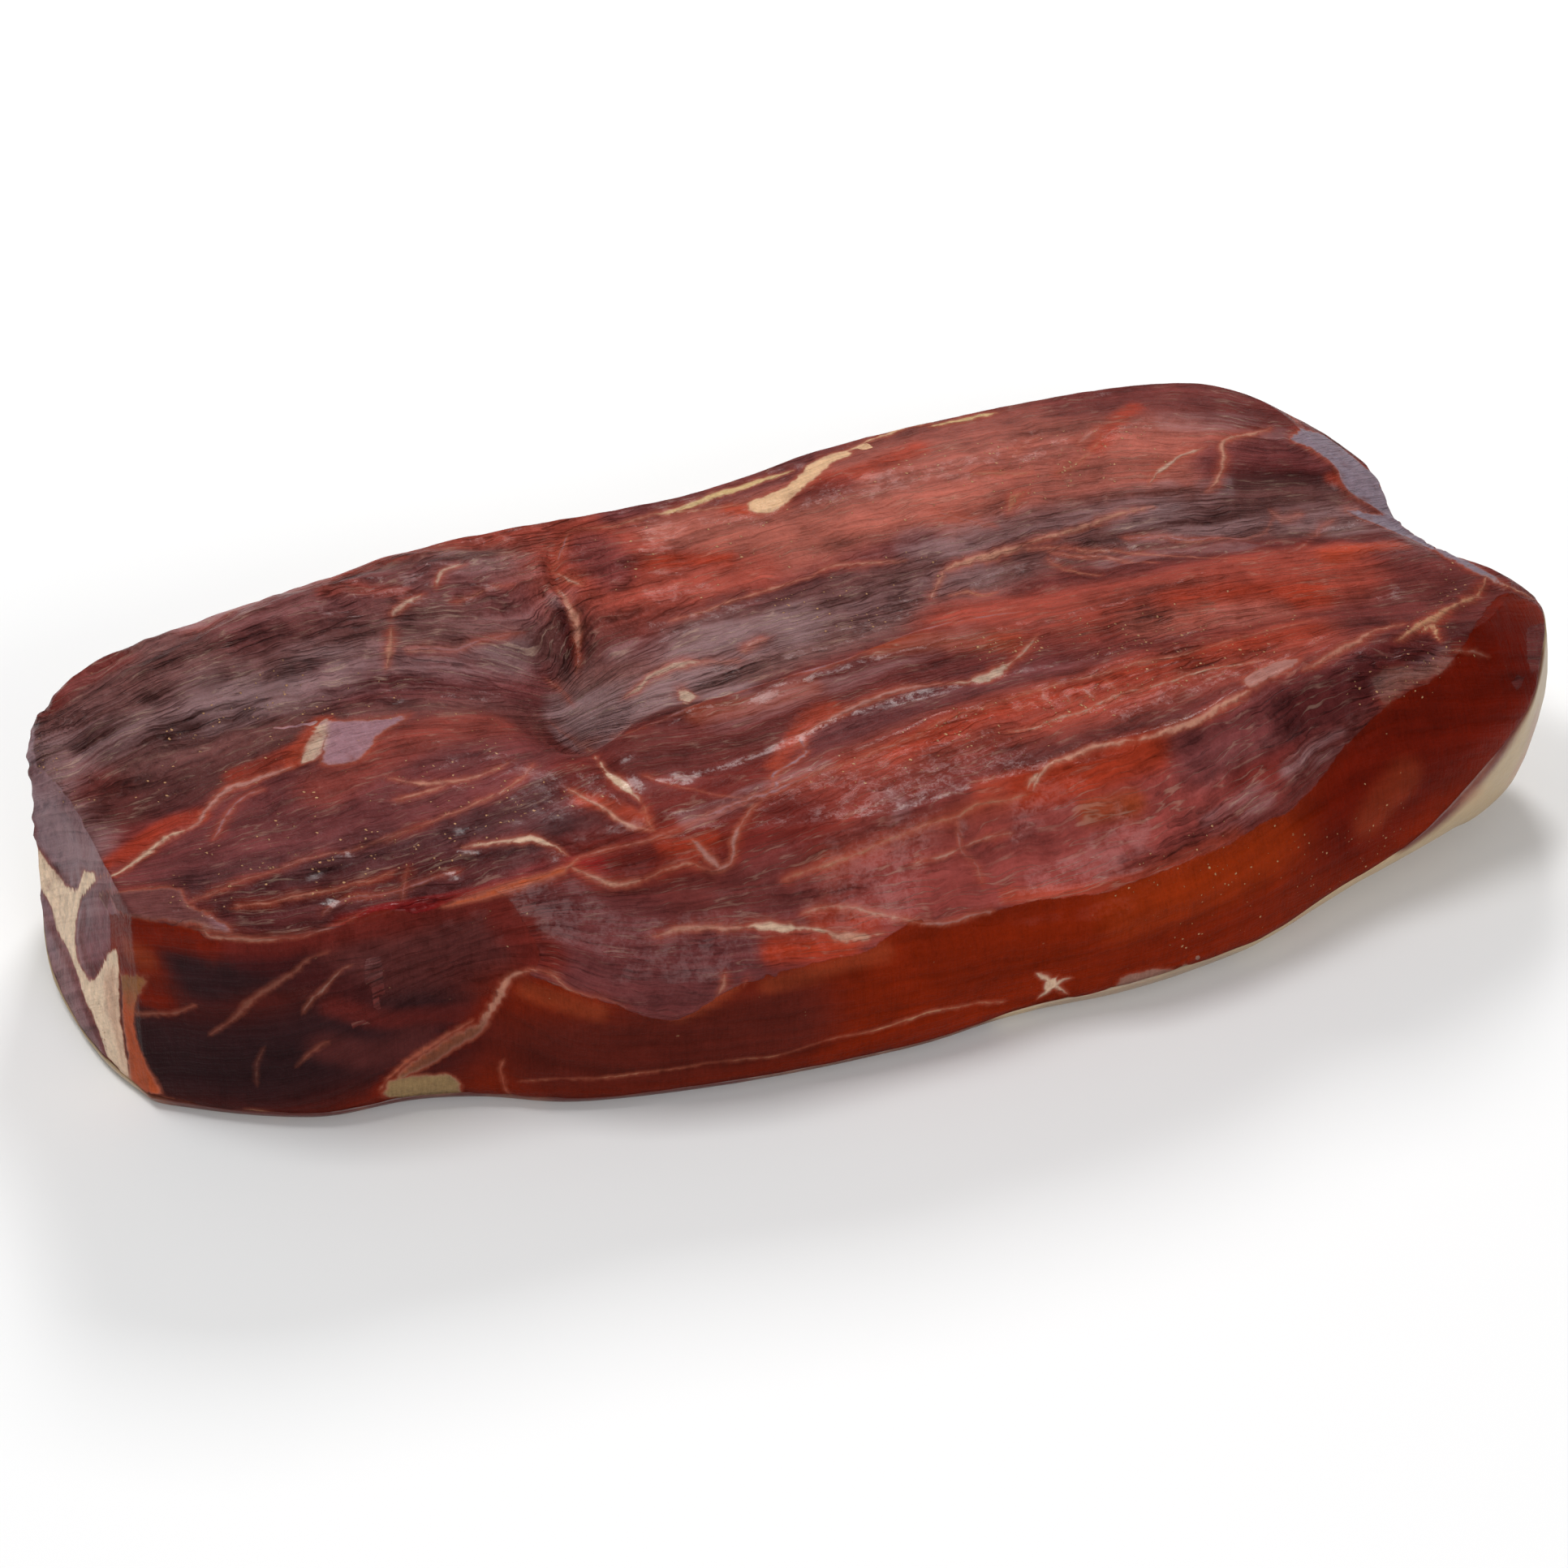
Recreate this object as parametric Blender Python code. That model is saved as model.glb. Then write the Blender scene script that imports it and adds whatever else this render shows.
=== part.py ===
"""Boneless Spanish ham: a pressed block of cured leg meat lying on its own fat.

Two pieces make the block. The lean is the cut meat, with its knuckle end sliced off flat,
long folds where the bones were drawn, and a sloping trimmed flank along the front. The fat
cap is the layer under it, which wraps up the back and round the thick end, and shows there
as a pale rim. +Z is up, +X points to the thick end and -Y to the trimmed flank. The numbers
below are millimetres, and the meshes are made in metres.
"""

from dataclasses import astuple, dataclass

import bmesh
import bpy
import numpy as np

MM = 0.001

# Driving sizes of the block, in millimetres
GAP = 0.3
FLOOR_FAT = 4.0
TOP_CELLS_LONG = 60
TOP_CELLS_ACROSS = 24
LEAN_WALL_ROWS = 8
FAT_WALL_ROWS = 4
CURVE_STEPS = 24
PROFILE_STEPS = 20

# The relief of the top fades out over this distance from its edge
EDGE_FADE = 14.0

# A wall's direction is read over this far up and down it
DIRECTION_REACH = 1.5

# Walls that face the front by this much carry the flank's swells
FLANK_FACING = -0.4

# Edges that turn by more than this many degrees stay crisp
CRISP_ANGLE = 50

# The line, seen from above, that every wall leans in towards
SPINE = ((-150, 5), (115, 5))


@dataclass(frozen=True)
class Station:
    """One place on the outline of the block, and the shape of its wall there.

    x and y are the widest line seen from above. The wall leans in by top_in over the last
    drop below the top edge, and by base_in over the first base_rise above the floor. Fat
    of thickness fat covers the wall up to fat_z.
    """

    x: float
    y: float
    top_z: float
    top_in: float
    drop: float
    base_in: float
    base_rise: float
    fat_z: float
    fat: float
    lean_in: float


# Front flank, from the sliced knuckle end towards the thick end
FRONT = (
    Station(-218, -40, 72, 2, 50, 4, 10, 4.5, 3.5, 1.2),
    Station(-198, -54, 72, 1, 6, 6, 12, 4.5, 3.5, 1.2),
    Station(-174, -65, 73, 1, 8, 7, 12, 4.5, 3.5, 1.2),
    Station(-150, -67, 74, 3, 14, 7, 12, 4.5, 3.5, 1.2),
    Station(-130, -73, 75, 7, 24, 7, 12, 4.5, 3.5, 1.2),
    Station(-108, -84, 76, 17, 32, 7, 12, 4.5, 3.5, 1.2),
    Station(-77, -91, 76, 23, 34, 7, 12, 4.5, 3.5, 1.3),
    Station(-45, -96, 76, 23, 34, 8, 12, 4.5, 3.5, 1.3),
    Station(-6, -98, 76, 19, 36, 8, 12, 4.5, 3.5, 1.3),
    Station(22, -96, 77, 19, 40, 8, 12, 5.5, 4, 1.3),
    Station(56, -99, 77, 21, 42, 9, 13, 7.5, 4.5, 1.2),
    Station(96, -96, 77, 25, 46, 11, 15, 8.5, 5, 1.2),
    Station(126, -88, 76, 26, 40, 16, 18, 13, 5.5, 1.2),
    Station(154, -82, 75, 19, 28, 22, 21, 19, 6, 1.2),
    Station(182, -76, 73, 19, 24, 30, 25, 40, 6.5, 1.2),
    Station(202, -64, 71, 18, 22, 36, 30, 53, 7, 1.3),
)
# Thick end, where the fat climbs towards a bevelled top edge
THICK_END = (
    FRONT[-1],
    Station(217, -42, 67, 15, 16, 46, 36, 58, 7, 1.6),
    Station(210, -26, 67, 13, 10, 48, 40, 57, 7, 1.4),
    Station(199, -6, 65, 13, 8, 48, 40, 54, 7, 1.2),
    Station(193, 15, 64, 13, 7, 46, 38, 54, 7, 1.2),
    Station(195, 36, 69, 17, 8, 44, 38, 58, 7, 1.2),
    Station(189, 60, 71, 15, 10, 42, 36, 58, 7, 1.4),
)
# Back, from the thick end to the knuckle end
BACK = (
    THICK_END[-1],
    Station(177, 79, 72, 10, 14, 40, 36, 60, 7, 1.8),
    Station(151, 92, 75, 9, 14, 38, 36, 66, 6.5, 1.8),
    Station(96, 97, 76, 8, 14, 34, 34, 71, 6, 1.8),
    Station(41, 97, 76, 8, 14, 32, 34, 71, 6, 1.8),
    Station(-12, 90, 75, 8, 14, 32, 34, 68, 6, 1.8),
    Station(-42, 90, 76, 8, 15, 32, 34, 62, 6, 1.8),
    Station(-78, 92, 77, 9, 18, 30, 34, 54, 6, 1.8),
    Station(-115, 92, 77, 10, 20, 30, 34, 48, 6, 1.8),
    Station(-150, 88, 77, 12, 20, 30, 34, 44, 6, 1.8),
    Station(-181, 82, 76, 12, 20, 28, 32, 42, 5, 1.8),
    Station(-207, 73, 75, 10, 16, 20, 26, 42, 4.5, 1.8),
    Station(-222, 58, 71, 6, 10, 12, 18, 44, 4.5, 1.6),
    Station(-226, 40, 66, 3, 4, 6, 12, 46, 4, 1.5),
)
# The flat slice across the knuckle end
SLICE = (
    BACK[-1],
    Station(-231, 23, 67, 12, 54, 3, 8, 12, 3.5, 1.0),
    Station(-230, 2, 68, 12, 56, 3, 8, 4.5, 3.5, 1.0),
    Station(-226, -20, 70, 9, 56, 3, 9, 4.5, 3.5, 1.0),
    FRONT[0],
)


@dataclass(frozen=True)
class Fold:
    """A long hollow, or a ridge if depth is negative, along a line drawn on the top."""

    line: tuple
    depth: float
    width: float


FOLDS = (
    # The crease across the block, where the aitch bone was drawn
    Fold(((-54, 82), (-60, 54), (-64, 34), (-73, 6), (-80, -11)), 8.5, 13.0),
    # The thigh bone's channel, from the crease to the notch in the thick end
    Fold(((-74, 3), (-36, 2), (12, 10), (49, 18), (82, 23), (114, 24), (149, 17), (188, 8)), 6.0, 13.0),
    # The hollow in front of the knuckle muscle
    Fold(((-74, 2), (-97, 19), (-122, 30), (-152, 34), (-178, 36), (-211, 27)), 5.0, 14.0),
    # The lip of the channel, and the shallow valley in front of it
    Fold(((-76, -18), (-43, -15), (-8, -10), (26, -9), (66, -14), (120, -12)), -3.0, 9.0),
    Fold(((-62, -40), (-20, -33), (20, -28), (60, -29), (112, -30), (158, -30)), 3.0, 9.0),
    # The rounded shoulder where the top turns down to the flank
    Fold(((-98, -64), (-37, -57), (-1, -48), (22, -45), (53, -43), (92, -42), (140, -44)), -2.5, 9.0),
)


@dataclass(frozen=True)
class Swell:
    """A muscle that swells out of the top, or a hollow if height is negative."""

    x: float
    y: float
    reach_x: float
    reach_y: float
    height: float


SWELLS = (
    Swell(-140, 58, 62, 25, 9.0),
    Swell(-72, 6, 13, 15, -4.0),
    Swell(-24, 44, 30, 24, -3.0),
    Swell(72, 58, 90, 24, 4.5),
    Swell(-138, -16, 60, 26, 3.5),
    Swell(158, 42, 30, 16, 3.0),
    Swell(140, -10, 40, 14, 3.0),
)

# The same along the front flank, where y is the height on the wall
FLANK_SWELLS = (
    Swell(-78, 50, 30, 14, 5.0),
    Swell(-92, 22, 30, 8, -3.0),
    Swell(-150, 44, 26, 14, -3.5),
    Swell(-140, 14, 30, 8, 2.0),
    Swell(22, 50, 36, 12, -3.0),
    Swell(60, 38, 46, 9, 3.5),
    Swell(110, 62, 40, 8, -2.5),
    Swell(-10, 24, 60, 12, 1.5),
)


def smooth_curve(stations):
    """Rows of station values along a smooth curve through the stations."""
    values = np.array([astuple(station) for station in stations], float)
    ends = (2 * values[0] - values[1], 2 * values[-1] - values[-2])
    knots = np.vstack([ends[0], values, ends[1]])
    rows = []
    for a, b, c, d in zip(knots, knots[1:], knots[2:], knots[3:]):
        for t in np.arange(CURVE_STEPS) / CURVE_STEPS:
            bend = (2 * a - 5 * b + 4 * c - d) * t**2 + (3 * b - a - 3 * c + d) * t**3
            rows.append(b + 0.5 * ((c - a) * t + bend))
    rows.append(values[-1])
    return np.array(rows)


def even_samples(rows, cells):
    """Rows read from a curve at even distances along its plan."""
    steps = np.linalg.norm(np.diff(rows[:, :2], axis=0), axis=1)
    along = np.concatenate([[0.0], np.cumsum(steps)])
    at = np.linspace(0.0, along[-1], cells + 1)
    return np.column_stack([np.interp(at, along, column) for column in rows.T])


def outline():
    """Station values round the block, corner by corner, each with its way out from the spine."""
    round_line = smooth_curve(FRONT + THICK_END[1:] + BACK[1:])
    front_end = CURVE_STEPS * (len(FRONT) - 1)
    thick_end = front_end + CURVE_STEPS * (len(THICK_END) - 1)
    sides = (
        even_samples(round_line[: front_end + 1], TOP_CELLS_LONG),
        even_samples(round_line[front_end : thick_end + 1], TOP_CELLS_ACROSS),
        even_samples(round_line[thick_end:], TOP_CELLS_LONG),
        even_samples(smooth_curve(SLICE), TOP_CELLS_ACROSS),
    )
    rows = np.vstack([side[:-1] for side in sides])
    start, end = np.array(SPINE, float)
    span = end - start
    share = np.clip((rows[:, :2] - start) @ span / (span @ span), 0.0, 1.0)
    outward = rows[:, :2] - start - share[:, None] * span
    return rows, outward / np.linalg.norm(outward, axis=1, keepdims=True)


def wall_profile(station):
    """Points (inset, height) down the wall at one station, from its top edge to the floor."""
    t = np.linspace(1.0, 0.0, PROFILE_STEPS)
    leaning = np.column_stack(
        [station.top_in * t**station.lean_in, station.top_z - station.drop * (1.0 - t)]
    )
    turn = np.linspace(0.0, np.pi / 2, PROFILE_STEPS)
    rounding = np.column_stack(
        [station.base_in * (1.0 - np.cos(turn)), station.base_rise * (1.0 - np.sin(turn))]
    )
    return np.vstack([leaning, rounding])


def profile_rows(profile, start, end, cells):
    """Points at even distances along a profile, with the direction out of the wall at each."""
    steps = np.linalg.norm(np.diff(profile, axis=0), axis=1)
    along = np.concatenate([[0.0], np.cumsum(steps)])
    at = np.linspace(start, end, cells + 1)
    points = np.column_stack([np.interp(at, along, column) for column in profile.T])
    low = np.clip(at - DIRECTION_REACH, 0.0, along[-1])
    high = np.clip(at + DIRECTION_REACH, 0.0, along[-1])
    down = np.column_stack(
        [np.interp(high, along, c) - np.interp(low, along, c) for c in profile.T]
    )
    out = np.column_stack([down[:, 1], -down[:, 0]])
    return points, out / np.linalg.norm(out, axis=1, keepdims=True)


def hump(x, y, swells):
    """Height that the swells add at a place."""
    total = 0.0
    for swell in swells:
        far = ((x - swell.x) / swell.reach_x) ** 2 + ((y - swell.y) / swell.reach_y) ** 2
        total += swell.height * np.exp(-far)
    return total


def distance_to_line(x, y, line):
    """Distance from a place to a line drawn on the top."""
    place = np.array([x, y])
    nearest = np.inf
    for start, end in zip(line, line[1:]):
        start, span = np.array(start, float), np.array(end, float) - np.array(start, float)
        share = np.clip((place - start) @ span / (span @ span), 0.0, 1.0)
        nearest = min(nearest, np.linalg.norm(place - start - share * span))
    return nearest


def relief(x, y, edge_distance):
    """Height of the folds and swells over the plain top, fading out at its edge."""
    height = hump(x, y, SWELLS)
    for fold in FOLDS:
        height -= fold.depth * np.exp(-((distance_to_line(x, y, fold.line) / fold.width) ** 2))
    share = np.clip(edge_distance / EDGE_FADE, 0.0, 1.0)
    return height * share * share * (3 - 2 * share)


def patch_point(corner_loop, column, row):
    """A place on the top, spanned between the four sides of its edge."""
    long, across = TOP_CELLS_LONG, TOP_CELLS_ACROSS
    u, v = column / long, row / across
    front = corner_loop[column]
    thick = corner_loop[long + row]
    back = corner_loop[(2 * long + across - column) % len(corner_loop)]
    cut = corner_loop[(2 * long + 2 * across - row) % len(corner_loop)]
    corners = (
        (1 - u) * (1 - v) * corner_loop[0]
        + u * (1 - v) * corner_loop[long]
        + u * v * corner_loop[long + across]
        + (1 - u) * v * corner_loop[2 * long + across]
    )
    return (1 - v) * front + v * back + (1 - u) * cut + u * thick - corners


def flank_swell(station, wall):
    """How far each point of the bare wall swells out, nothing at the wall's two ends."""
    share = np.linspace(0.0, 1.0, len(wall))
    ends = np.sqrt(share) * (1.0 - share**8)
    return ends * np.array([hump(station.x, z, FLANK_SWELLS) for z in wall[:, 1]])


def wall_section(station, out):
    """One upright section of the wall, as five runs of points from its top to its foot.

    They are the bare lean, the ledge that the fat's rim stands on, the outer and inner face
    of the fat, and the bed of the lean a gap inside it.
    """
    profile = wall_profile(station)
    steps = np.linalg.norm(np.diff(profile, axis=0), axis=1)
    along = np.concatenate([[0.0], np.cumsum(steps)])
    split = np.interp(-station.fat_z, -profile[:, 1], along)
    bare, bare_out = profile_rows(profile, 0.0, split - GAP, LEAN_WALL_ROWS)
    fat, fat_out = profile_rows(profile, split, along[-1], FAT_WALL_ROWS)
    fat_out[-1] = (0.0, -1.0)
    if out[1] < FLANK_FACING:
        bare = bare + bare_out * flank_swell(station, bare)[:, None]
    share = np.linspace(0.0, 1.0, FAT_WALL_ROWS + 1)[:, None]
    thickness = station.fat * (1.0 - share) + FLOOR_FAT * share
    runs = (
        bare,
        bare[-1:] - bare_out[-1:] * (station.fat + GAP),
        fat,
        fat - fat_out * thickness,
        fat - fat_out * (thickness + GAP),
    )
    place = np.array([station.x, station.y])
    return [np.column_stack([place - run[:, :1] * out, run[:, 1]]) for run in runs]


def wall_rings():
    """The runs of every wall section, joined into rings round the block."""
    sections = [wall_section(Station(*values), out) for values, out in zip(*outline())]
    return [np.swapaxes(np.array(runs), 0, 1) for runs in zip(*sections)]


def edge_distances(points, loop):
    """How far each place is from the edge of the top, seen from above."""
    far = points[:, None, :2] - loop[None, :, :2]
    return np.linalg.norm(far, axis=2).min(axis=1)


def new_piece(name, bm, colour, roughness):
    """An object made from a mesh, with its own material."""
    bmesh.ops.recalc_face_normals(bm, faces=bm.faces)
    if bm.calc_volume(signed=True) < 0:
        bmesh.ops.reverse_faces(bm, faces=bm.faces)
    mesh = bpy.data.meshes.new(name)
    bm.to_mesh(mesh)
    bm.free()
    mesh.shade_smooth()
    mesh.set_sharp_from_angle(angle=np.radians(CRISP_ANGLE))
    piece = bpy.data.objects.new(name, mesh)
    bpy.context.scene.collection.objects.link(piece)
    material = bpy.data.materials.new(name)
    material.use_nodes = True
    shader = material.node_tree.nodes["Principled BSDF"]
    shader.inputs["Base Color"].default_value = colour
    shader.inputs["Roughness"].default_value = roughness
    shader.inputs["Metallic"].default_value = 0.0
    mesh.materials.append(material)
    return piece


def add_ring(bm, loop, points):
    """Extrudes an edge loop to a new ring of points and returns the new loop."""
    new = [bm.verts.new(point * MM) for point in points]
    for i, vert in enumerate(loop):
        j = (i + 1) % len(loop)
        bm.faces.new((vert, loop[j], new[j], new[i]))
    return new


def make_lean(rings):
    """The block of meat: a folded top, the wall down to the fat, and the bed on the fat."""
    lean_wall, ledge, _, _, lean_in = rings
    edge = lean_wall[0]
    bm = bmesh.new()
    bmesh.ops.create_grid(
        bm, x_segments=TOP_CELLS_LONG, y_segments=TOP_CELLS_ACROSS, size=1.0
    )
    cells = {}
    for vert in bm.verts:
        column = round((vert.co.x + 1) / 2 * TOP_CELLS_LONG)
        row = round((vert.co.y + 1) / 2 * TOP_CELLS_ACROSS)
        cells[column, row] = vert
    plain = np.array([patch_point(edge, *cell) for cell in cells])
    for vert, point, far in zip(cells.values(), plain, edge_distances(plain, edge)):
        point[2] += relief(point[0], point[1], far)
        vert.co = point * MM
    long, across = TOP_CELLS_LONG, TOP_CELLS_ACROSS
    walk = [(column, 0) for column in range(long)]
    walk += [(long, row) for row in range(across)]
    walk += [(column, across) for column in range(long, 0, -1)]
    walk += [(0, row) for row in range(across, 0, -1)]
    loop = [cells[cell] for cell in walk]
    for points in (*lean_wall[1:], *ledge, *lean_in[1:]):
        loop = add_ring(bm, loop, points)
    bm.faces.new(loop)
    return new_piece("lean_meat", bm, (0.165, 0.024, 0.016, 1.0), 0.38)


def make_fat(rings):
    """The fat cap: a dish with a flat foot, as deep as the fat reaches up each wall."""
    _, _, fat_out, fat_in, _ = rings
    bm = bmesh.new()
    loop = [bm.verts.new(point * MM) for point in fat_out[-1]]
    bm.faces.new(loop)
    for points in (*fat_out[-2::-1], *fat_in):
        loop = add_ring(bm, loop, points)
    bm.faces.new(loop)
    return new_piece("fat_cap", bm, (0.66, 0.46, 0.25, 1.0), 0.45)


def stand_on_origin(pieces):
    """Moves the meshes so that the middle of the block's foot is the origin."""
    corners = np.array([v.co for piece in pieces for v in piece.data.vertices])
    low, high = corners.min(axis=0), corners.max(axis=0)
    shift = -(low + high) / 2
    shift[2] = -low[2]
    for piece in pieces:
        for vert in piece.data.vertices:
            vert.co += type(vert.co)(shift)


def main():
    """Builds the two pieces of the ham."""
    for old in list(bpy.data.objects):
        bpy.data.objects.remove(old)
    rings = wall_rings()
    stand_on_origin([make_lean(rings), make_fat(rings)])


main()
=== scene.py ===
"""Looks of a boneless Spanish ham: cured lean meat with its fat seams, lying on a fat cap."""

import logging
from dataclasses import dataclass, field
from enum import Enum
from typing import ClassVar

import bmesh
import bpy
import numpy as np
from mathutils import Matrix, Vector
from mathutils.bvhtree import BVHTree


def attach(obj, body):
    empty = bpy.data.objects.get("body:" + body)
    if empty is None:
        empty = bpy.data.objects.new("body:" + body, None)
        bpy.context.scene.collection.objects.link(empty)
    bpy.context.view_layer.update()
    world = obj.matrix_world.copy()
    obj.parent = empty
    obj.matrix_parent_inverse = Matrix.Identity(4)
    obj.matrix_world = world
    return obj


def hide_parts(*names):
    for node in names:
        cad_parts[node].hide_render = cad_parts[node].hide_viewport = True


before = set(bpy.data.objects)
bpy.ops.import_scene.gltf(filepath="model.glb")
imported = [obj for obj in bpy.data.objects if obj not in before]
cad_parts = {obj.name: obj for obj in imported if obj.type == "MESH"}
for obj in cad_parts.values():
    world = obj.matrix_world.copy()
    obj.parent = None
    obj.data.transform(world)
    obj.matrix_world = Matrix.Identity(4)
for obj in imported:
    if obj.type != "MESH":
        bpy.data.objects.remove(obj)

log = logging.getLogger("ham")

MM = 0.001
Pixel = tuple[float, float]
Path = tuple[Pixel, ...]


class Tone(Enum):
    """Colours of the ham, as linear reflectance."""

    LUMP = (0.125, 0.046, 0.042)
    LUMP_DARK = (0.070, 0.022, 0.020)
    BRICK = (0.265, 0.044, 0.028)
    SALMON = (0.300, 0.080, 0.058)
    PLUM = (0.120, 0.023, 0.020)
    DARK_PLUM = (0.050, 0.007, 0.007)
    WINE = (0.130, 0.030, 0.030)
    DUSK = (0.082, 0.024, 0.025)
    CHANNEL = (0.190, 0.080, 0.072)
    MAROON = (0.125, 0.014, 0.010)
    NEAR_BLACK = (0.024, 0.008, 0.009)
    FLANK_BROWN = (0.085, 0.018, 0.016)
    ROSE = (0.235, 0.042, 0.035)
    SCARLET = (0.310, 0.032, 0.012)
    GLAZE = (0.320, 0.042, 0.018)
    AMBER = (0.165, 0.0115, 0.0010)
    BRIGHT_AMBER = (0.215, 0.020, 0.002)
    DEEP_AMBER = (0.100, 0.005, 0.001)
    BROWN = (0.080, 0.010, 0.006)
    RUST = (0.240, 0.038, 0.013)
    CRIMSON = (0.230, 0.010, 0.010)
    PALE_BRICK = (0.310, 0.082, 0.058)
    FACET = (0.100, 0.034, 0.036)
    EMBER = (0.140, 0.010, 0.003)
    # Lilac-grey of the bevel, partly painted reflection
    BEVEL_SHEEN = (0.195, 0.165, 0.205)
    CORAL = (0.400, 0.105, 0.060)
    SLICE_FAT = (0.780, 0.585, 0.420)
    CUT_GREY = (0.235, 0.150, 0.168)
    CUT_PINK = (0.240, 0.112, 0.118)
    CUT_MAUVE = (0.175, 0.064, 0.072)
    # Pale membrane, also laid on as painted sheen
    VEIL_AND_SHEEN = (0.300, 0.190, 0.195)
    CREAM = (0.520, 0.350, 0.245)
    BUTTER = (0.600, 0.370, 0.215)
    IVORY = (0.430, 0.290, 0.215)
    PEACH = (0.420, 0.190, 0.125)
    ORANGE_FAT = (0.400, 0.075, 0.026)
    PINK_FAT = (0.340, 0.150, 0.125)
    LILAC = (0.270, 0.155, 0.185)
    GREY_FAT = (0.240, 0.165, 0.130)
    YELLOW_FAT = (0.520, 0.350, 0.165)
    WEDGE_FAT = (0.250, 0.160, 0.075)
    OCHRE = (0.340, 0.140, 0.070)
    TAN_FAT = (0.150, 0.050, 0.028)
    OLIVE_FAT = (0.260, 0.130, 0.045)
    GOLD = (0.480, 0.260, 0.135)
    RIM = (0.400, 0.290, 0.170)


@dataclass(frozen=True)
class PhotoCamera:
    """The camera of the photograph: its view judged, its aim fitted to the outline."""

    azimuth: float = -21.0
    elevation: float = 40.0
    distance: float = 1.3
    focal_px: float = 5488.0
    target: tuple[float, float, float] = (-0.0094, -0.0066, 0.0336)
    image_px: float = 1932.0
    sensor_mm: float = 36.0

    def back(self) -> Vector:
        """Direction from the ham to the camera."""
        a, e = np.radians(self.azimuth), np.radians(self.elevation)
        return Vector((np.sin(a) * np.cos(e), -np.cos(a) * np.cos(e), np.sin(e)))

    def place(self) -> Vector:
        """Where the camera stands."""
        return Vector(self.target) + self.back() * self.distance

    def ray(self, pixel: Pixel) -> Vector:
        """Direction in which the camera sees a pixel of the photograph.

        Args:
            pixel: Column and row in the photograph's frame.

        Returns:
            A unit vector.
        """
        back = self.back()
        right = Vector((-back.y, back.x, 0.0)).normalized()
        up = back.cross(right)
        across = (pixel[0] - self.image_px / 2) / self.focal_px
        down = (pixel[1] - self.image_px / 2) / self.focal_px
        return (right * across - up * down - back).normalized()

    def build(self) -> bpy.types.Object:
        """Makes the camera and gives it to the scene."""
        data = bpy.data.cameras.new("photo_camera")
        data.sensor_width = self.sensor_mm
        data.lens = self.focal_px / self.image_px * self.sensor_mm
        camera = bpy.data.objects.new("photo_camera", data)
        camera.location = self.place()
        camera.rotation_mode = "QUATERNION"
        camera.rotation_quaternion = (-self.back()).to_track_quat("-Z", "Y")
        bpy.context.scene.collection.objects.link(camera)
        bpy.context.scene.camera = camera
        return camera


@dataclass(frozen=True)
class Trace:
    """Points in millimetres along a line on the ham, with the surface's direction at each."""

    points: np.ndarray
    normals: np.ndarray

    def ahead(self) -> np.ndarray:
        """Unit directions along the line."""
        ahead = np.gradient(self.points, axis=0)
        return ahead / np.linalg.norm(ahead, axis=1, keepdims=True)

    def outward(self) -> np.ndarray:
        """Unit directions on the surface across the line, to the right of its way."""
        outward = np.cross(self.ahead(), self.normals)
        return outward / np.linalg.norm(outward, axis=1, keepdims=True)


@dataclass
class PhotoMap:
    """Finds the places on the ham that pixels of the photograph show."""

    camera: PhotoCamera
    step_px: float = 4.0
    tree: BVHTree = field(init=False)

    def __post_init__(self) -> None:
        """Joins the solids into one surface to aim at."""
        corners, faces = [], []
        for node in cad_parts.values():
            start = len(corners)
            corners += [v.co.copy() for v in node.data.vertices]
            faces += [[start + i for i in p.vertices] for p in node.data.polygons]
        self.tree = BVHTree.FromPolygons(corners, faces)

    def hit(self, pixel: Pixel) -> tuple[Vector, Vector]:
        """The place that a pixel shows, and the surface's direction there.

        Args:
            pixel: Column and row in the photograph's frame.

        Returns:
            The place and the normal. A pixel just off the ham gives the nearest place to its ray.
        """
        start, way = self.camera.place(), self.camera.ray(pixel)
        place, normal, _, _ = self.tree.ray_cast(start, way)
        if place is None:
            reaches = self.camera.distance + np.arange(-0.25, 0.25, 0.004)
            found = [self.tree.find_nearest(start + way * float(reach)) for reach in reaches]
            place, normal, _, _ = min(found, key=lambda nearest: nearest[3])
        return place, normal

    def trace(self, path: Path, closed: bool = False) -> Trace:
        """Follows a smooth line through pixels over the ham.

        Args:
            path: Pixels of the photograph that the line goes through.
            closed: Whether the line comes back to its start.

        Returns:
            The line on the surface.
        """
        path = path + path[:1] if closed else path
        found = [self.hit(tuple(pixel)) for pixel in smooth_line(path, self.step_px)]
        points = np.array([place for place, _ in found]) / MM
        return Trace(points, np.array([normal for _, normal in found]))


def smooth_line(path: Path, step: float) -> np.ndarray:
    """Points at about even steps on a smooth curve through a path.

    Args:
        path: The points to go through.
        step: Distance between the points that are given back.

    Returns:
        The points, one a row.
    """
    knots = np.array(path, float)
    if len(knots) == 1:
        return knots
    knots = np.vstack([2 * knots[0] - knots[1], knots, 2 * knots[-1] - knots[-2]])
    rows = []
    for a, b, c, d in zip(knots, knots[1:], knots[2:], knots[3:]):
        count = max(2, int(np.linalg.norm(c - b) / step))
        for t in np.arange(count) / count:
            bend = (2 * a - 5 * b + 4 * c - d) * t**2 + (3 * b - a - 3 * c + d) * t**3
            rows.append(b + 0.5 * ((c - a) * t + bend))
    rows.append(knots[-2])
    return np.array(rows)


@dataclass(frozen=True)
class Brush:
    """A soft stroke of one tone along a path of the photograph, reach millimetres to each side."""

    tone: Tone
    reach: float
    strength: float
    path: Path


@dataclass(frozen=True)
class Seam:
    """A line of fat or film, width millimetres wide at its middle. A faint one has solid below 1."""

    tone: Tone
    width: float
    path: Path
    solid: float = 1.0


@dataclass(frozen=True)
class Island:
    """A patch of one tone with a crisp, ragged edge, drawn round through pixels of the photograph."""

    tone: Tone
    path: Path
    solid: float = 1.0


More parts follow.
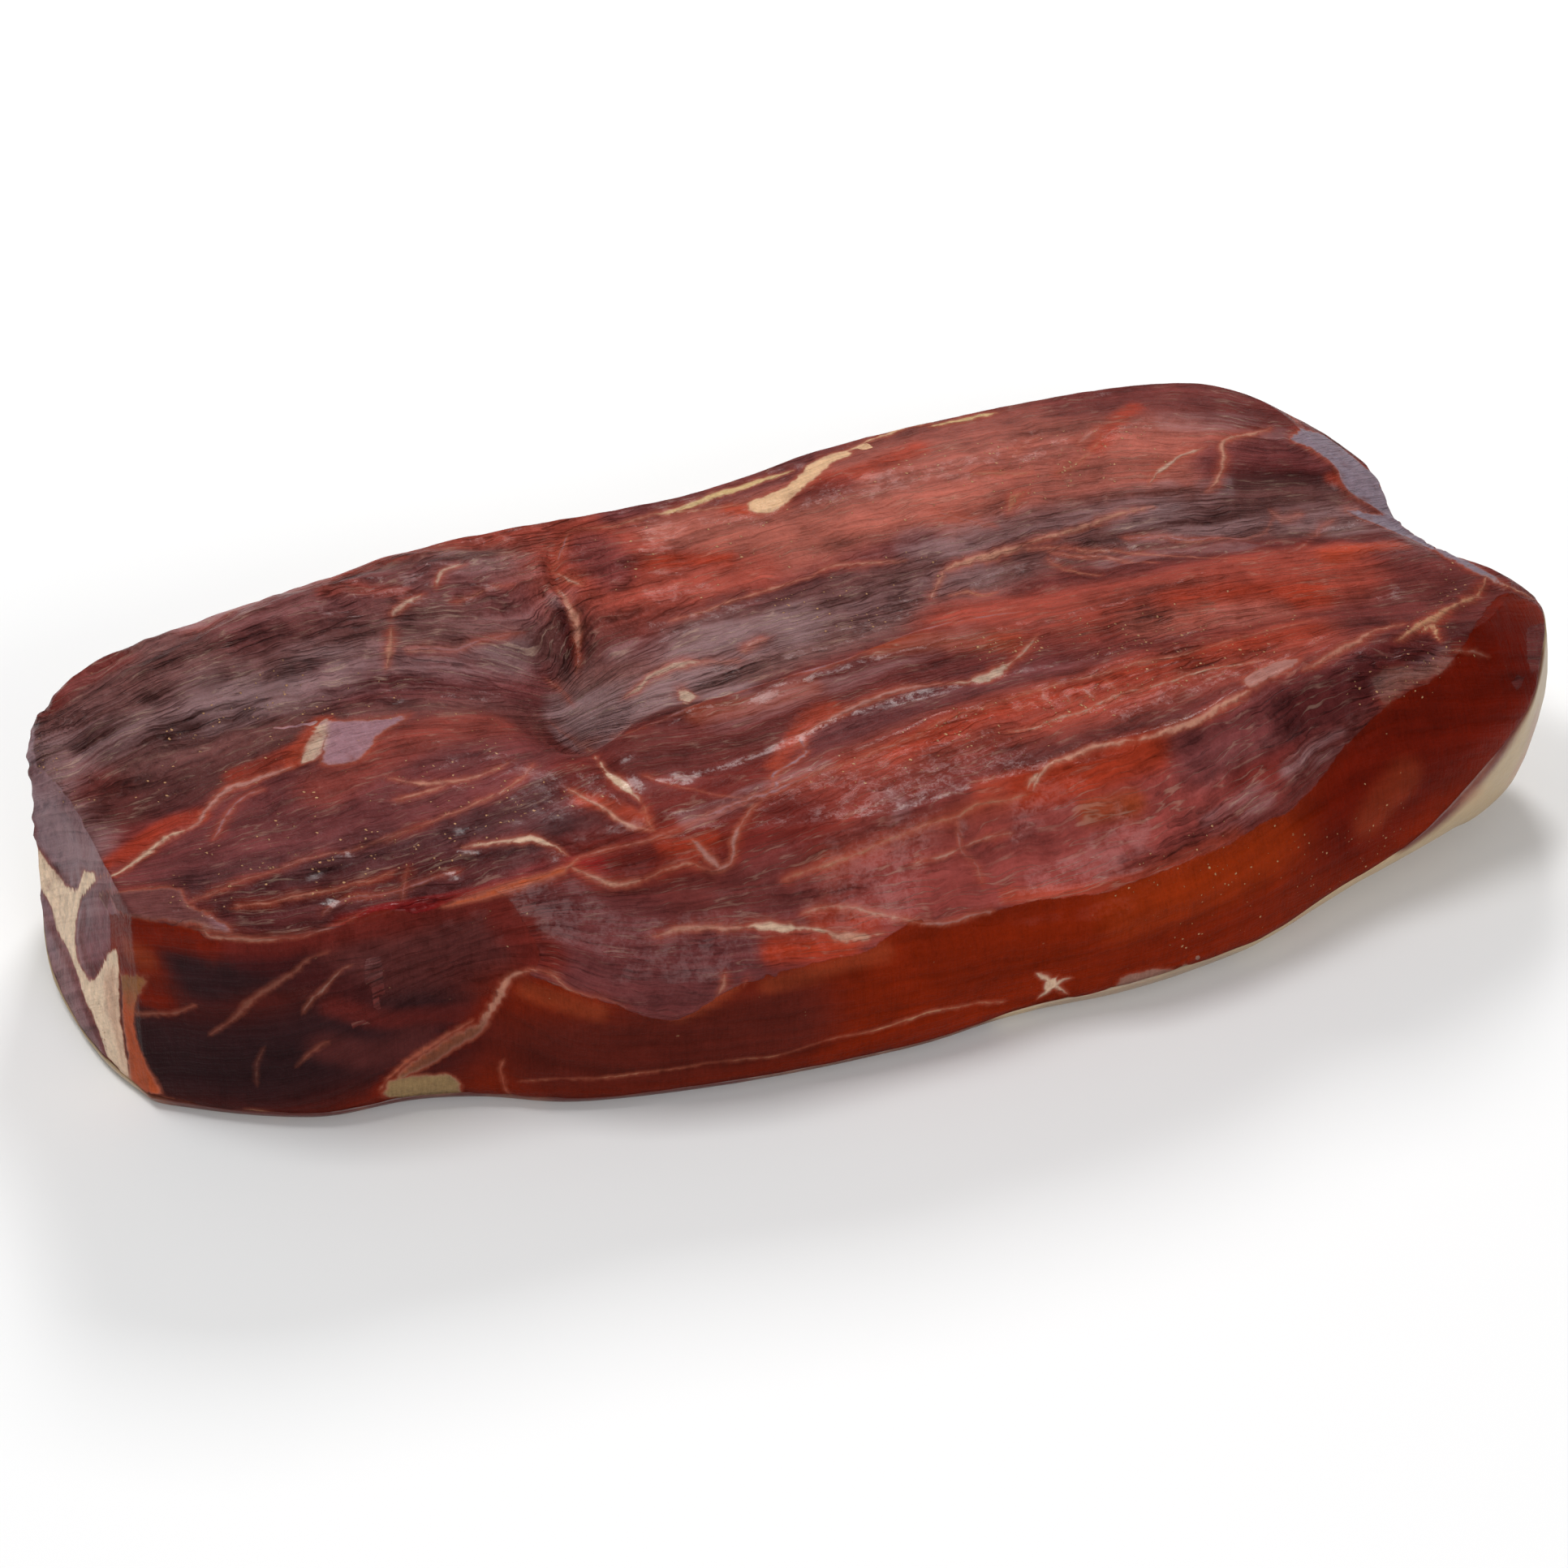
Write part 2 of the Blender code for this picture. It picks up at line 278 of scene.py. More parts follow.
@dataclass(frozen=True)
class Contour:
    """A step and a ridge of the surface along a path drawn from left to right, in millimetres.

    The far side of the line stands step higher than the near side, and the line itself stands
    rise above both, or below them if rise is negative.
    """

    step: float
    rise: float
    reach: float
    path: Path


@dataclass(frozen=True)
class Patch:
    """A soft amount of something, such as film or flecks, along a path of the photograph."""

    reach: float
    amount: float
    path: Path


@dataclass(frozen=True)
class Grain:
    """A line that the meat's fibres follow, and its place in the order of the fibres, in millimetres."""

    order: float
    path: Path


LEAN_GROUND = Tone.PLUM
LEAN_BRUSHES = (
    # The knuckle muscle
    Brush(Tone.LUMP, 34, 1.0, ((110, 900), (250, 800), (430, 740), (600, 700), (680, 690))),
    Brush(Tone.LUMP, 26, 1.0, ((120, 950), (280, 870), (450, 810), (620, 790))),
    Brush(Tone.BRICK, 6, 0.9, ((230, 762), (330, 728), (430, 700), (560, 668), (640, 652))),
    Brush(Tone.WINE, 10, 0.6, ((300, 770), (420, 735), (540, 715), (640, 740))),
    Brush(Tone.MAROON, 5, 0.7, ((60, 870), (90, 840), (150, 812))),
    Brush(Tone.LUMP_DARK, 7, 0.8, ((120, 915), (210, 905), (300, 880), (380, 858), (500, 852))),
    Brush(Tone.WINE, 9, 0.9, ((410, 850), (500, 838), (600, 835), (690, 850))),
    Brush(Tone.BRICK, 3, 0.6, ((400, 728), (440, 722), (500, 728))),
    # Painted shade at the end of the knuckle muscle, beside the crease
    Brush(Tone.LUMP_DARK, 7, 0.8, ((620, 800), (680, 790), (705, 800))),
    # The smooth muscle in front of it
    Brush(Tone.WINE, 26, 1.0, ((190, 1050), (330, 1020), (520, 1000), (640, 980))),
    Brush(Tone.MAROON, 8, 0.6, ((100, 960), (150, 1000), (170, 1040))),
    Brush(Tone.BRICK, 8, 0.5, ((400, 970), (470, 930), (540, 900), (600, 890))),
    Brush(Tone.LUMP_DARK, 9, 0.7, ((140, 1000), (240, 960), (330, 920), (390, 880))),
    Brush(Tone.DUSK, 14, 1.0, ((250, 1110), (400, 1085), (560, 1048), (650, 1018), (700, 988))),
    Brush(Tone.DARK_PLUM, 6, 0.5, ((290, 1112), (400, 1092), (520, 1062))),
    Brush(Tone.DARK_PLUM, 8, 0.7, ((260, 1130), (380, 1125), (480, 1100), (600, 1062))),
    Brush(Tone.SCARLET, 3, 0.7, ((130, 1064), (165, 1044), (205, 1016), (245, 1003))),
    Brush(Tone.SCARLET, 3.5, 0.6, ((290, 955), (330, 940), (360, 925))),
    Brush(Tone.GLAZE, 3, 0.8, ((362, 938), (378, 912), (398, 890))),
    Brush(Tone.CRIMSON, 2.5, 0.9, ((420, 1138), (500, 1120), (560, 1106), (620, 1088), (670, 1066))),
    # The crease, and the long muscles behind the channel
    Brush(Tone.BRICK, 26, 1.0, ((740, 680), (850, 690), (980, 680))),
    Brush(Tone.SALMON, 30, 1.0, ((960, 640), (1150, 600), (1300, 570), (1430, 570))),
    Brush(Tone.PALE_BRICK, 8, 0.9, ((820, 650), (950, 660), (1050, 640), (1200, 620))),
    Brush(Tone.BRICK, 8, 0.8, ((800, 705), (860, 700), (930, 705))),
    Brush(Tone.SCARLET, 2.5, 0.8, ((775, 700), (820, 690), (900, 687))),
    Brush(Tone.WINE, 6, 0.9, ((760, 632), (860, 612), (960, 582), (1030, 556))),
    Brush(Tone.SCARLET, 4, 0.7, ((1010, 592), (1060, 580), (1130, 552))),
    Brush(Tone.GLAZE, 3, 0.9, ((900, 626), (922, 628))),
    Brush(Tone.MAROON, 5, 0.8, ((970, 612), (1010, 604), (1040, 596))),
    Brush(Tone.WINE, 7, 0.8, ((730, 680), (745, 690), (760, 705))),
    Brush(Tone.WINE, 8, 1.0, ((900, 760), (1000, 730), (1080, 700), (1140, 680))),
    # Painted shade down the crease
    Brush(Tone.LUMP_DARK, 5, 1.0, ((697, 750), (704, 800), (710, 850))),
    Brush(Tone.DARK_PLUM, 3, 0.8, ((696, 745), (706, 795), (708, 840))),
    Brush(Tone.PLUM, 12, 0.9, ((1330, 495), (1450, 490), (1560, 512))),
    Brush(Tone.SCARLET, 3, 0.7, ((1352, 550), (1375, 520), (1400, 500))),
    Brush(Tone.WINE, 8, 0.9, ((1500, 570), (1560, 562), (1620, 575))),
    Brush(Tone.DARK_PLUM, 6, 1.0, ((1512, 598), (1580, 594), (1660, 604))),
    Brush(Tone.NEAR_BLACK, 3, 0.6, ((1520, 598), (1580, 594), (1640, 600))),
    Brush(Tone.SCARLET, 2, 0.8, ((1640, 588), (1668, 600))),
    Brush(Tone.CHANNEL, 13, 1.0, ((740, 870), (820, 850), (900, 820), (1050, 765), (1180, 725))),
    Brush(Tone.LUMP, 10, 1.0, ((860, 780), (950, 770), (1050, 745), (1150, 710), (1240, 690))),
    Brush(Tone.LUMP, 12, 1.0, ((1240, 680), (1400, 650), (1520, 640), (1640, 640))),
    # The muscles between the channel and the flank
    Brush(Tone.PLUM, 13, 1.0, ((760, 940), (900, 905), (1050, 860), (1150, 830), (1250, 810))),
    Brush(Tone.MAROON, 10, 0.8, ((720, 950), (740, 980), (800, 1000), (860, 980), (930, 950))),
    Brush(Tone.RUST, 5, 0.8, ((1080, 800), (1160, 785), (1240, 785))),
    Brush(Tone.RUST, 4, 0.7, ((860, 880), (920, 868), (1000, 845))),
    Brush(Tone.WINE, 8, 0.9, ((1010, 920), (1080, 885), (1180, 855), (1300, 830))),
    Brush(Tone.GLAZE, 3, 0.8, ((955, 942), (978, 915), (1000, 885), (1030, 872))),
    Brush(Tone.BRICK, 13, 1.0, ((1180, 760), (1330, 745), (1500, 720), (1650, 700))),
    Brush(Tone.SCARLET, 6, 0.8, ((1450, 750), (1540, 742), (1620, 738))),
    Brush(Tone.GLAZE, 4, 0.9, ((1640, 685), (1680, 674), (1725, 672))),
    Brush(Tone.SALMON, 5, 0.7, ((1400, 770), (1500, 760), (1580, 755))),
    Brush(Tone.BRICK, 13, 1.0, ((1010, 980), (1120, 935), (1230, 890), (1400, 840), (1600, 780))),
    Brush(Tone.SCARLET, 4, 0.7, ((1100, 925), (1200, 880), (1340, 842), (1480, 805), (1620, 775))),
    Brush(Tone.MAROON, 8, 0.6, ((1000, 1000), (1060, 980), (1150, 960), (1230, 930))),
    Brush(Tone.MAROON, 11, 1.0, ((720, 1060), (800, 1050), (900, 1030), (980, 1010))),
    Brush(Tone.CRIMSON, 3, 1.0, ((708, 1062), (738, 1068))),
    Brush(Tone.SCARLET, 3, 0.7, ((820, 1040), (850, 1045), (880, 1030))),
    Brush(Tone.GLAZE, 3, 0.7, ((720, 985), (760, 995), (795, 1010))),
    Brush(Tone.RUST, 6, 1.0, ((1000, 1085), (1080, 1060), (1160, 1030), (1230, 1000))),
    Brush(Tone.GLAZE, 4, 0.7, ((1215, 970), (1260, 960))),
    # The shoulder of the flank
    Brush(Tone.WINE, 17, 1.0, ((650, 1140), (740, 1170), (850, 1190), (960, 1130))),
    Brush(Tone.PLUM, 8, 0.8, ((860, 1110), (920, 1100), (980, 1085))),
    Brush(Tone.ROSE, 17, 1.0, ((1090, 1110), (1200, 1070), (1350, 1040), (1450, 1000), (1530, 940))),
    Brush(Tone.SCARLET, 6, 1.0, ((1270, 972), (1310, 962), (1350, 950), (1420, 925))),
    Brush(Tone.RUST, 4, 1.0, ((1345, 1000), (1395, 990))),
    Brush(Tone.MAROON, 5, 0.9, ((1530, 955), (1560, 940), (1590, 925))),
    Brush(Tone.WINE, 9, 0.9, ((1480, 930), (1540, 900), (1600, 870), (1680, 820))),
    Brush(Tone.DARK_PLUM, 7, 0.8, ((1590, 880), (1660, 850), (1740, 800), (1790, 780))),
    Brush(Tone.MAROON, 5, 1.0, ((640, 1130), (660, 1160), (680, 1185))),
    Brush(Tone.SCARLET, 4, 1.0, ((955, 1172), (1000, 1168), (1050, 1166))),
    Brush(Tone.SCARLET, 3, 0.8, ((1010, 1132), (1040, 1130), (1070, 1136))),
    Brush(Tone.GLAZE, 2.5, 0.8, ((1240, 1105), (1330, 1098), (1420, 1072), (1520, 1030))),
)

# The trimmed sides, where no skin is left
WALL_GROUND = Tone.AMBER
WALL_BRUSHES = (
    Brush(Tone.AMBER, 17, 1.0, ((1080, 1225), (1250, 1200), (1400, 1160), (1500, 1120), (1600, 1060))),
    Brush(Tone.BRIGHT_AMBER, 11, 1.0, ((1400, 1120), (1500, 1080), (1560, 1040), (1640, 990))),
    Brush(Tone.DEEP_AMBER, 22, 1.0, ((1680, 990), (1730, 940), (1800, 880), (1860, 800))),
    Brush(Tone.RUST, 6, 0.4, ((1690, 1010), (1730, 960))),
    Brush(Tone.BROWN, 17, 1.0, ((690, 1300), (850, 1285), (960, 1260))),
    Brush(Tone.RUST, 3.5, 0.8, ((838, 1250), (870, 1235), (900, 1215))),
    Brush(Tone.RUST, 3, 0.6, ((950, 1215), (1020, 1195), (1090, 1175))),
    Brush(Tone.RUST, 3, 0.7, ((650, 1222), (700, 1240), (740, 1250))),
    Brush(Tone.NEAR_BLACK, 24, 1.0, ((200, 1300), (320, 1310), (430, 1280), (500, 1260))),
    Brush(Tone.NEAR_BLACK, 9, 1.0, ((230, 1180), (250, 1210), (300, 1200), (360, 1190))),
    Brush(Tone.FLANK_BROWN, 13, 1.0, ((440, 1190), (500, 1180), (570, 1160), (600, 1150))),
    Brush(Tone.DARK_PLUM, 5, 0.8, ((300, 1180), (380, 1200), (440, 1230))),
    Brush(Tone.MAROON, 3.5, 0.6, ((410, 1240), (480, 1255), (580, 1248))),
    Brush(Tone.MAROON, 4, 0.9, ((262, 1160), (340, 1165), (420, 1150), (520, 1128), (600, 1106))),
    Brush(Tone.MAROON, 5, 0.8, ((620, 1130), (645, 1160), (660, 1185))),
    Brush(Tone.EMBER, 5, 1.0, ((150, 1140), (200, 1150), (250, 1158))),
    Brush(Tone.EMBER, 6, 0.9, ((146, 1138), (152, 1165), (156, 1195))),
    Brush(Tone.RUST, 4, 0.7, ((158, 1172), (174, 1180))),
    Brush(Tone.EMBER, 4, 1.0, ((175, 1225), (200, 1235))),
    Brush(Tone.EMBER, 3, 0.9, ((470, 1345), (520, 1305), (575, 1272), (606, 1235))),
    Brush(Tone.FLANK_BROWN, 5, 0.7, ((400, 1290), (460, 1300), (520, 1280))),
)

CUT_GROUND = Tone.CUT_PINK
CUT_BRUSHES = (
    Brush(Tone.CUT_GREY, 20, 1.0, ((50, 970), (75, 1010), (95, 1060))),
    Brush(Tone.CUT_MAUVE, 5, 0.7, ((42, 955), (70, 968), (92, 1000), (104, 1040))),
    Brush(Tone.CUT_MAUVE, 9, 1.0, ((122, 1110), (128, 1140), (118, 1190))),
    Brush(Tone.CUT_GREY, 5, 0.8, ((48, 1110), (68, 1170))),
    Brush(Tone.EMBER, 7, 1.0, ((156, 1138), (158, 1165), (160, 1195))),
    Brush(Tone.CUT_PINK, 8, 0.8, ((80, 1200), (105, 1260), (125, 1300))),
    Brush(Tone.PLUM, 2.5, 0.7, ((38, 950), (36, 1000), (42, 1040), (60, 1064), (82, 1084), (100, 1076))),
    Brush(Tone.PLUM, 2.5, 0.7, ((44, 1112), (60, 1140), (80, 1180), (98, 1220), (116, 1270), (136, 1312))),
    Brush(Tone.PLUM, 2.2, 0.6, ((104, 1120), (102, 1160), (114, 1196), (132, 1178), (142, 1150))),
)

# Where the skin ends, going round each trimmed side
TRIMMED = (
    ((640, 1200), (683, 1213), (726, 1230), (764, 1241), (811, 1256), (846, 1251), (897, 1222),
     (949, 1204), (1004, 1187), (1069, 1174), (1100, 1150), (1126, 1133), (1160, 1141), (1220, 1124),
     (1271, 1110), (1340, 1103), (1379, 1094), (1421, 1077), (1464, 1060), (1507, 1043), (1550, 1017),
     (1593, 996), (1627, 961), (1653, 923), (1687, 889), (1716, 864), (1764, 838), (1796, 806),
     (1822, 764), (1848, 732), (1876, 736), (1902, 760), (1914, 850), (1890, 930), (1780, 1029),
     (1680, 1086), (1580, 1145), (1480, 1191), (1380, 1227), (1280, 1248), (1180, 1275), (1080, 1304),
     (980, 1324), (880, 1342), (780, 1353), (680, 1362), (600, 1353), (604, 1260)),
    ((136, 1126), (193, 1136), (240, 1144), (262, 1156), (342, 1158), (401, 1148), (464, 1124), (523, 1121),
     (562, 1109), (606, 1098), (630, 1110), (648, 1140), (664, 1170), (660, 1192), (640, 1204), (612, 1240),
     (604, 1290), (590, 1350), (500, 1358), (400, 1375), (280, 1372), (190, 1355), (150, 1332), (142, 1262),
     (137, 1190)),
)

FAT_GROUND = Tone.RIM
FAT_BRUSHES = (
    Brush(Tone.BROWN, 8, 1.0, ((200, 1355), (380, 1372), (560, 1352), (760, 1355), (900, 1338))),
    Brush(Tone.BROWN, 7, 0.9, ((900, 1338), (1060, 1308), (1200, 1270))),
    Brush(Tone.GREY_FAT, 7, 0.6, ((1300, 1243), (1400, 1220), (1500, 1185))),
    Brush(Tone.PINK_FAT, 5, 0.5, ((1896, 890), (1886, 920), (1872, 945))),
    Brush(Tone.DEEP_AMBER, 3.4, 1.0, ((1897, 800), (1886, 860), (1862, 906), (1824, 958), (1780, 1004),
                                      (1730, 1042))),
)

# Seams, veins and creases on the top
TOP_SEAMS = (
    # Left half
    Seam(Tone.CREAM, 2.0, ((119, 1083), (147, 1074), (164, 1059), (177, 1049), (203, 1031), (229, 1019))),
    Seam(Tone.PINK_FAT, 2.2, ((229, 1019), (246, 1008), (259, 993), (280, 971), (306, 963), (331, 952),
                              (361, 941))),
    Seam(Tone.LILAC, 1.5, ((263, 1031), (271, 1014), (284, 997), (301, 980), (323, 971)), 0.7),
    Seam(Tone.PEACH, 1.6, ((481, 959), (507, 963), (550, 963), (593, 956), (604, 950), (627, 939)), 0.8),
    Seam(Tone.PEACH, 1.4, ((486, 984), (511, 978), (533, 971), (556, 963)), 0.9),
    Seam(Tone.PEACH, 1.0, ((657, 941), (640, 959), (614, 976), (593, 986), (567, 999), (529, 1010)), 0.9),
    Seam(Tone.PINK_FAT, 0.7, ((529, 1010), (486, 1027), (443, 1042), (400, 1053), (357, 1064)), 0.6),
    Seam(Tone.PINK_FAT, 0.8, ((370, 1062), (314, 1083), (271, 1096), (229, 1113)), 0.6),
    Seam(Tone.PEACH, 0.8, ((289, 1117), (340, 1111), (400, 1098), (456, 1085), (486, 1074)), 0.7),
    Seam(Tone.LILAC, 0.9, ((400, 1126), (409, 1115), (426, 1106), (469, 1100), (511, 1089),
                           (563, 1070)), 0.7),
    Seam(Tone.LILAC, 0.8, ((495, 1105), (499, 1085), (502, 1070)), 0.6),
    Seam(Tone.CREAM, 1.6, ((571, 1042), (597, 1038), (623, 1036), (640, 1031), (657, 1031), (679, 1040),
                           (700, 1053))),
    Seam(Tone.CREAM, 3.4, ((632, 1035), (657, 1032), (680, 1041))),
    Seam(Tone.ORANGE_FAT, 3.0, ((712, 1056), (693, 1072), (672, 1082), (640, 1090), (600, 1102),
                                (545, 1118))),
    Seam(Tone.PEACH, 1.8, ((703, 1068), (729, 1080), (756, 1091), (792, 1083))),
    Seam(Tone.PEACH, 0.9, ((792, 1083), (808, 1077), (825, 1070), (844, 1063), (861, 1067),
                           (877, 1073)), 0.8),
    # The vein down the knuckle muscle
    Seam(Tone.IVORY, 2.4, ((570, 696), (548, 702), (540, 712), (538, 722)), 0.8),
    Seam(Tone.IVORY, 2.4, ((520, 732), (500, 742), (488, 752), (482, 762)), 0.8),
    Seam(Tone.PEACH, 2.2, ((484, 775), (482, 792), (480, 806), (476, 822)), 0.8),
    Seam(Tone.PEACH, 0.8, ((560, 742), (590, 730), (630, 722)), 0.6),
    Seam(Tone.LILAC, 1.2, ((500, 800), (560, 798), (600, 786), (640, 778)), 0.6),
    # The crease and what runs out of it
    Seam(Tone.LILAC, 1.8, ((700, 655), (694, 670), (688, 688), (681, 697))),
    Seam(Tone.IVORY, 1.8, ((681, 697), (692, 708), (705, 715), (718, 719))),
    Seam(Tone.PEACH, 3.0, ((690, 718), (700, 735), (709, 756), (713, 779), (714, 793)), 0.9),
    Seam(Tone.PINK_FAT, 0.6, ((714, 793), (713, 812), (710, 830)), 0.8),
    Seam(Tone.PINK_FAT, 0.7, ((674, 835), (690, 848), (704, 862)), 0.7),
    Seam(Tone.PINK_FAT, 0.7, ((680, 893), (700, 906), (719, 919)), 0.8),
    Seam(Tone.CREAM, 1.8, ((719, 919), (736, 932), (749, 952), (765, 965), (779, 975), (792, 990))),
    Seam(Tone.CREAM, 3.8, ((745, 948), (762, 962), (780, 977))),
    Seam(Tone.ORANGE_FAT, 1.6, ((792, 990), (796, 1008), (803, 1022))),
    Seam(Tone.PEACH, 2.0, ((700, 971), (723, 985), (739, 994), (762, 1008), (779, 1017), (805, 1024))),
    Seam(Tone.IVORY, 0.7, ((795, 955), (821, 965), (851, 971), (884, 978), (923, 983)), 0.8),
    # The back of the block and the cream streak
    Seam(Tone.YELLOW_FAT, 3.4, ((811, 633), (844, 625), (890, 607), (940, 591), (976, 579))),
    Seam(Tone.PEACH, 1.2, ((703, 651), (746, 648), (779, 640), (802, 633), (828, 631), (864, 628),
                           (912, 620)), 0.9),
    Seam(Tone.BUTTER, 1.8, ((1040, 557), (1068, 543), (1094, 533), (1117, 526), (1150, 519)), 0.9),
    Seam(Tone.YELLOW_FAT, 2.4, ((1146, 525), (1176, 518), (1206, 512), (1230, 507))),
    Seam(Tone.PEACH, 1.0, ((825, 763), (864, 753), (890, 743), (923, 732), (963, 720), (995, 710)), 0.9),
    Seam(Tone.PEACH, 1.2, ((995, 710), (1028, 697), (1068, 693), (1117, 689)), 0.8),
    Seam(Tone.PINK_FAT, 2.0, ((915, 800), (930, 790), (945, 786)), 0.7),
    Seam(Tone.LILAC, 1.0, ((1155, 630), (1180, 636), (1225, 648)), 0.7),
    # Veins at the thick end
    Seam(Tone.IVORY, 2.0, ((1416, 594), (1429, 579), (1446, 566), (1463, 557), (1484, 549)), 0.9),
    Seam(Tone.PEACH, 2.2, ((1486, 604), (1497, 594), (1506, 574), (1508, 557), (1504, 546), (1514, 538),
                           (1540, 534), (1566, 527))),
    Seam(Tone.OCHRE, 1.6, ((1198, 581), (1235, 583), (1272, 582)), 0.7),
    Seam(Tone.OCHRE, 2.6, ((1262, 604), (1250, 614), (1243, 630)), 0.5),
    Seam(Tone.OCHRE, 0.9, ((1244, 566), (1260, 550), (1276, 536)), 0.6),
    Seam(Tone.OCHRE, 1.2, ((1304, 583), (1326, 570), (1347, 553), (1358, 534)), 0.7),
    Seam(Tone.PINK_FAT, 2.4, ((1330, 546), (1344, 534), (1356, 524)), 0.6),
    Seam(Tone.PEACH, 3.0, ((1163, 703), (1189, 694), (1223, 684), (1261, 673))),
    Seam(Tone.PEACH, 1.8, ((1261, 673), (1300, 658), (1343, 645), (1377, 634), (1422, 625))),
    Seam(Tone.PEACH, 1.8, ((1163, 703), (1154, 720), (1146, 737)), 0.8),
    Seam(Tone.OCHRE, 1.8, ((1170, 734), (1190, 729), (1212, 735), (1225, 728)), 0.9),
    Seam(Tone.PEACH, 1.2, ((1253, 677), (1309, 675), (1369, 679), (1420, 681), (1463, 684),
                           (1549, 688)), 0.8),
    Seam(Tone.PINK_FAT, 1.4, ((1291, 681), (1334, 684), (1369, 686), (1394, 690), (1422, 693)), 0.9),
    Seam(Tone.OCHRE, 1.4, ((1291, 688), (1304, 699), (1326, 705), (1360, 707)), 0.6),
    Seam(Tone.LILAC, 1.6, ((1386, 662), (1420, 662), (1463, 666), (1506, 664), (1540, 662), (1561, 651),
                           (1570, 639)), 0.8),
    Seam(Tone.LILAC, 1.6, ((1587, 681), (1609, 669), (1626, 651), (1643, 639)), 0.6),
    Seam(Tone.PINK_FAT, 1.6, ((1566, 628), (1580, 640), (1604, 634)), 0.6),
    # The lip of the channel, its pale lilac line a painted highlight, and the vein that leaves it
    Seam(Tone.LILAC, 3.0, ((890, 858), (943, 842), (976, 832), (1009, 824), (1041, 812), (1074, 797)), 0.7),
    Seam(Tone.LILAC, 2.4, ((1074, 797), (1107, 786), (1140, 776), (1200, 762), (1260, 752)), 0.6),
    Seam(Tone.LILAC, 1.8, ((716, 917), (770, 902), (828, 881), (890, 858)), 0.5),
    Seam(Tone.IVORY, 2.8, ((769, 860), (788, 846), (798, 834), (818, 823), (844, 816), (864, 815)), 0.9),
    Seam(Tone.PINK_FAT, 1.4, ((864, 815), (894, 814), (912, 812)), 0.7),
    Seam(Tone.LILAC, 2.0, ((943, 978), (956, 967), (953, 953), (976, 939), (992, 925), (986, 912),
                           (995, 901))),
    Seam(Tone.PINK_FAT, 2.2, ((995, 901), (1022, 886), (1041, 876), (1074, 860), (1100, 852), (1164, 841))),
    Seam(Tone.IVORY, 1.8, ((1164, 841), (1199, 839), (1220, 831), (1237, 824), (1259, 807), (1270, 792),
                           (1278, 780))),
    Seam(Tone.IVORY, 4.2, ((1196, 839), (1220, 832), (1242, 820))),
    Seam(Tone.PINK_FAT, 1.6, ((943, 978), (926, 994), (913, 1017), (903, 1037), (902, 1057), (890, 1070),
                              (874, 1073))),
    Seam(Tone.PINK_FAT, 2.6, ((854, 1034), (864, 1047), (877, 1060), (887, 1070)), 0.9),
    # The long line above the flank, from left to right
    Seam(Tone.PINK_FAT, 0.8, ((706, 1057), (746, 1045), (795, 1034), (828, 1022), (864, 1008)), 0.8),
    Seam(Tone.LILAC, 1.8, ((864, 1008), (890, 996), (923, 983), (943, 978), (976, 962), (1009, 950)), 0.8),
    Seam(Tone.PINK_FAT, 1.0, ((1009, 950), (1074, 924), (1107, 912), (1143, 893), (1186, 876),
                              (1229, 863)), 0.9),
    Seam(Tone.PEACH, 1.0, ((1229, 863), (1271, 850), (1314, 837), (1357, 826), (1443, 805), (1529, 784),
                           (1614, 764)), 0.9),
    # The dotted line with its cross bars
    Seam(Tone.IVORY, 1.2, ((1241, 901), (1271, 893), (1314, 878), (1341, 871), (1379, 854),
                           (1409, 846)), 0.9),
    Seam(Tone.IVORY, 1.2, ((1409, 846), (1443, 839), (1486, 826), (1529, 816), (1556, 811)), 0.9),
    Seam(Tone.PINK_FAT, 1.6, ((1282, 846), (1288, 858), (1296, 866)), 0.7),
    Seam(Tone.PINK_FAT, 1.6, ((1308, 848), (1316, 858), (1322, 866)), 0.7),
    Seam(Tone.PINK_FAT, 1.6, ((1334, 840), (1342, 852), (1350, 860)), 0.7),
    Seam(Tone.PINK_FAT, 1.4, ((1360, 832), (1368, 842), (1374, 850)), 0.7),
    # The ridge over the flank
    Seam(Tone.PEACH, 1.8, ((1274, 974), (1278, 959), (1293, 944), (1323, 931), (1357, 921), (1400, 914))),
    Seam(Tone.PEACH, 2.2, ((1400, 914), (1443, 901), (1477, 889), (1511, 869), (1541, 852))),
    Seam(Tone.PEACH, 1.4, ((1606, 826), (1636, 811), (1670, 794), (1700, 777), (1730, 770)), 0.8),
    Seam(Tone.CREAM, 2.2, ((1268, 972), (1272, 960), (1280, 952)), 0.9),
    Seam(Tone.OCHRE, 1.1, ((966, 1085), (995, 1073), (1028, 1063), (1061, 1050), (1091, 1037),
                           (1124, 1024))),
    Seam(Tone.OCHRE, 1.1, ((1124, 1024), (1143, 1017), (1177, 1006), (1207, 991), (1241, 987),
                           (1271, 979))),
    Seam(Tone.IVORY, 0.9, ((1126, 1064), (1156, 1056), (1186, 1043), (1216, 1034), (1246, 1026)), 0.8),
    Seam(Tone.LILAC, 0.8, ((1179, 1009), (1184, 1034), (1186, 1051), (1203, 1064), (1209, 1086)), 0.7),
)

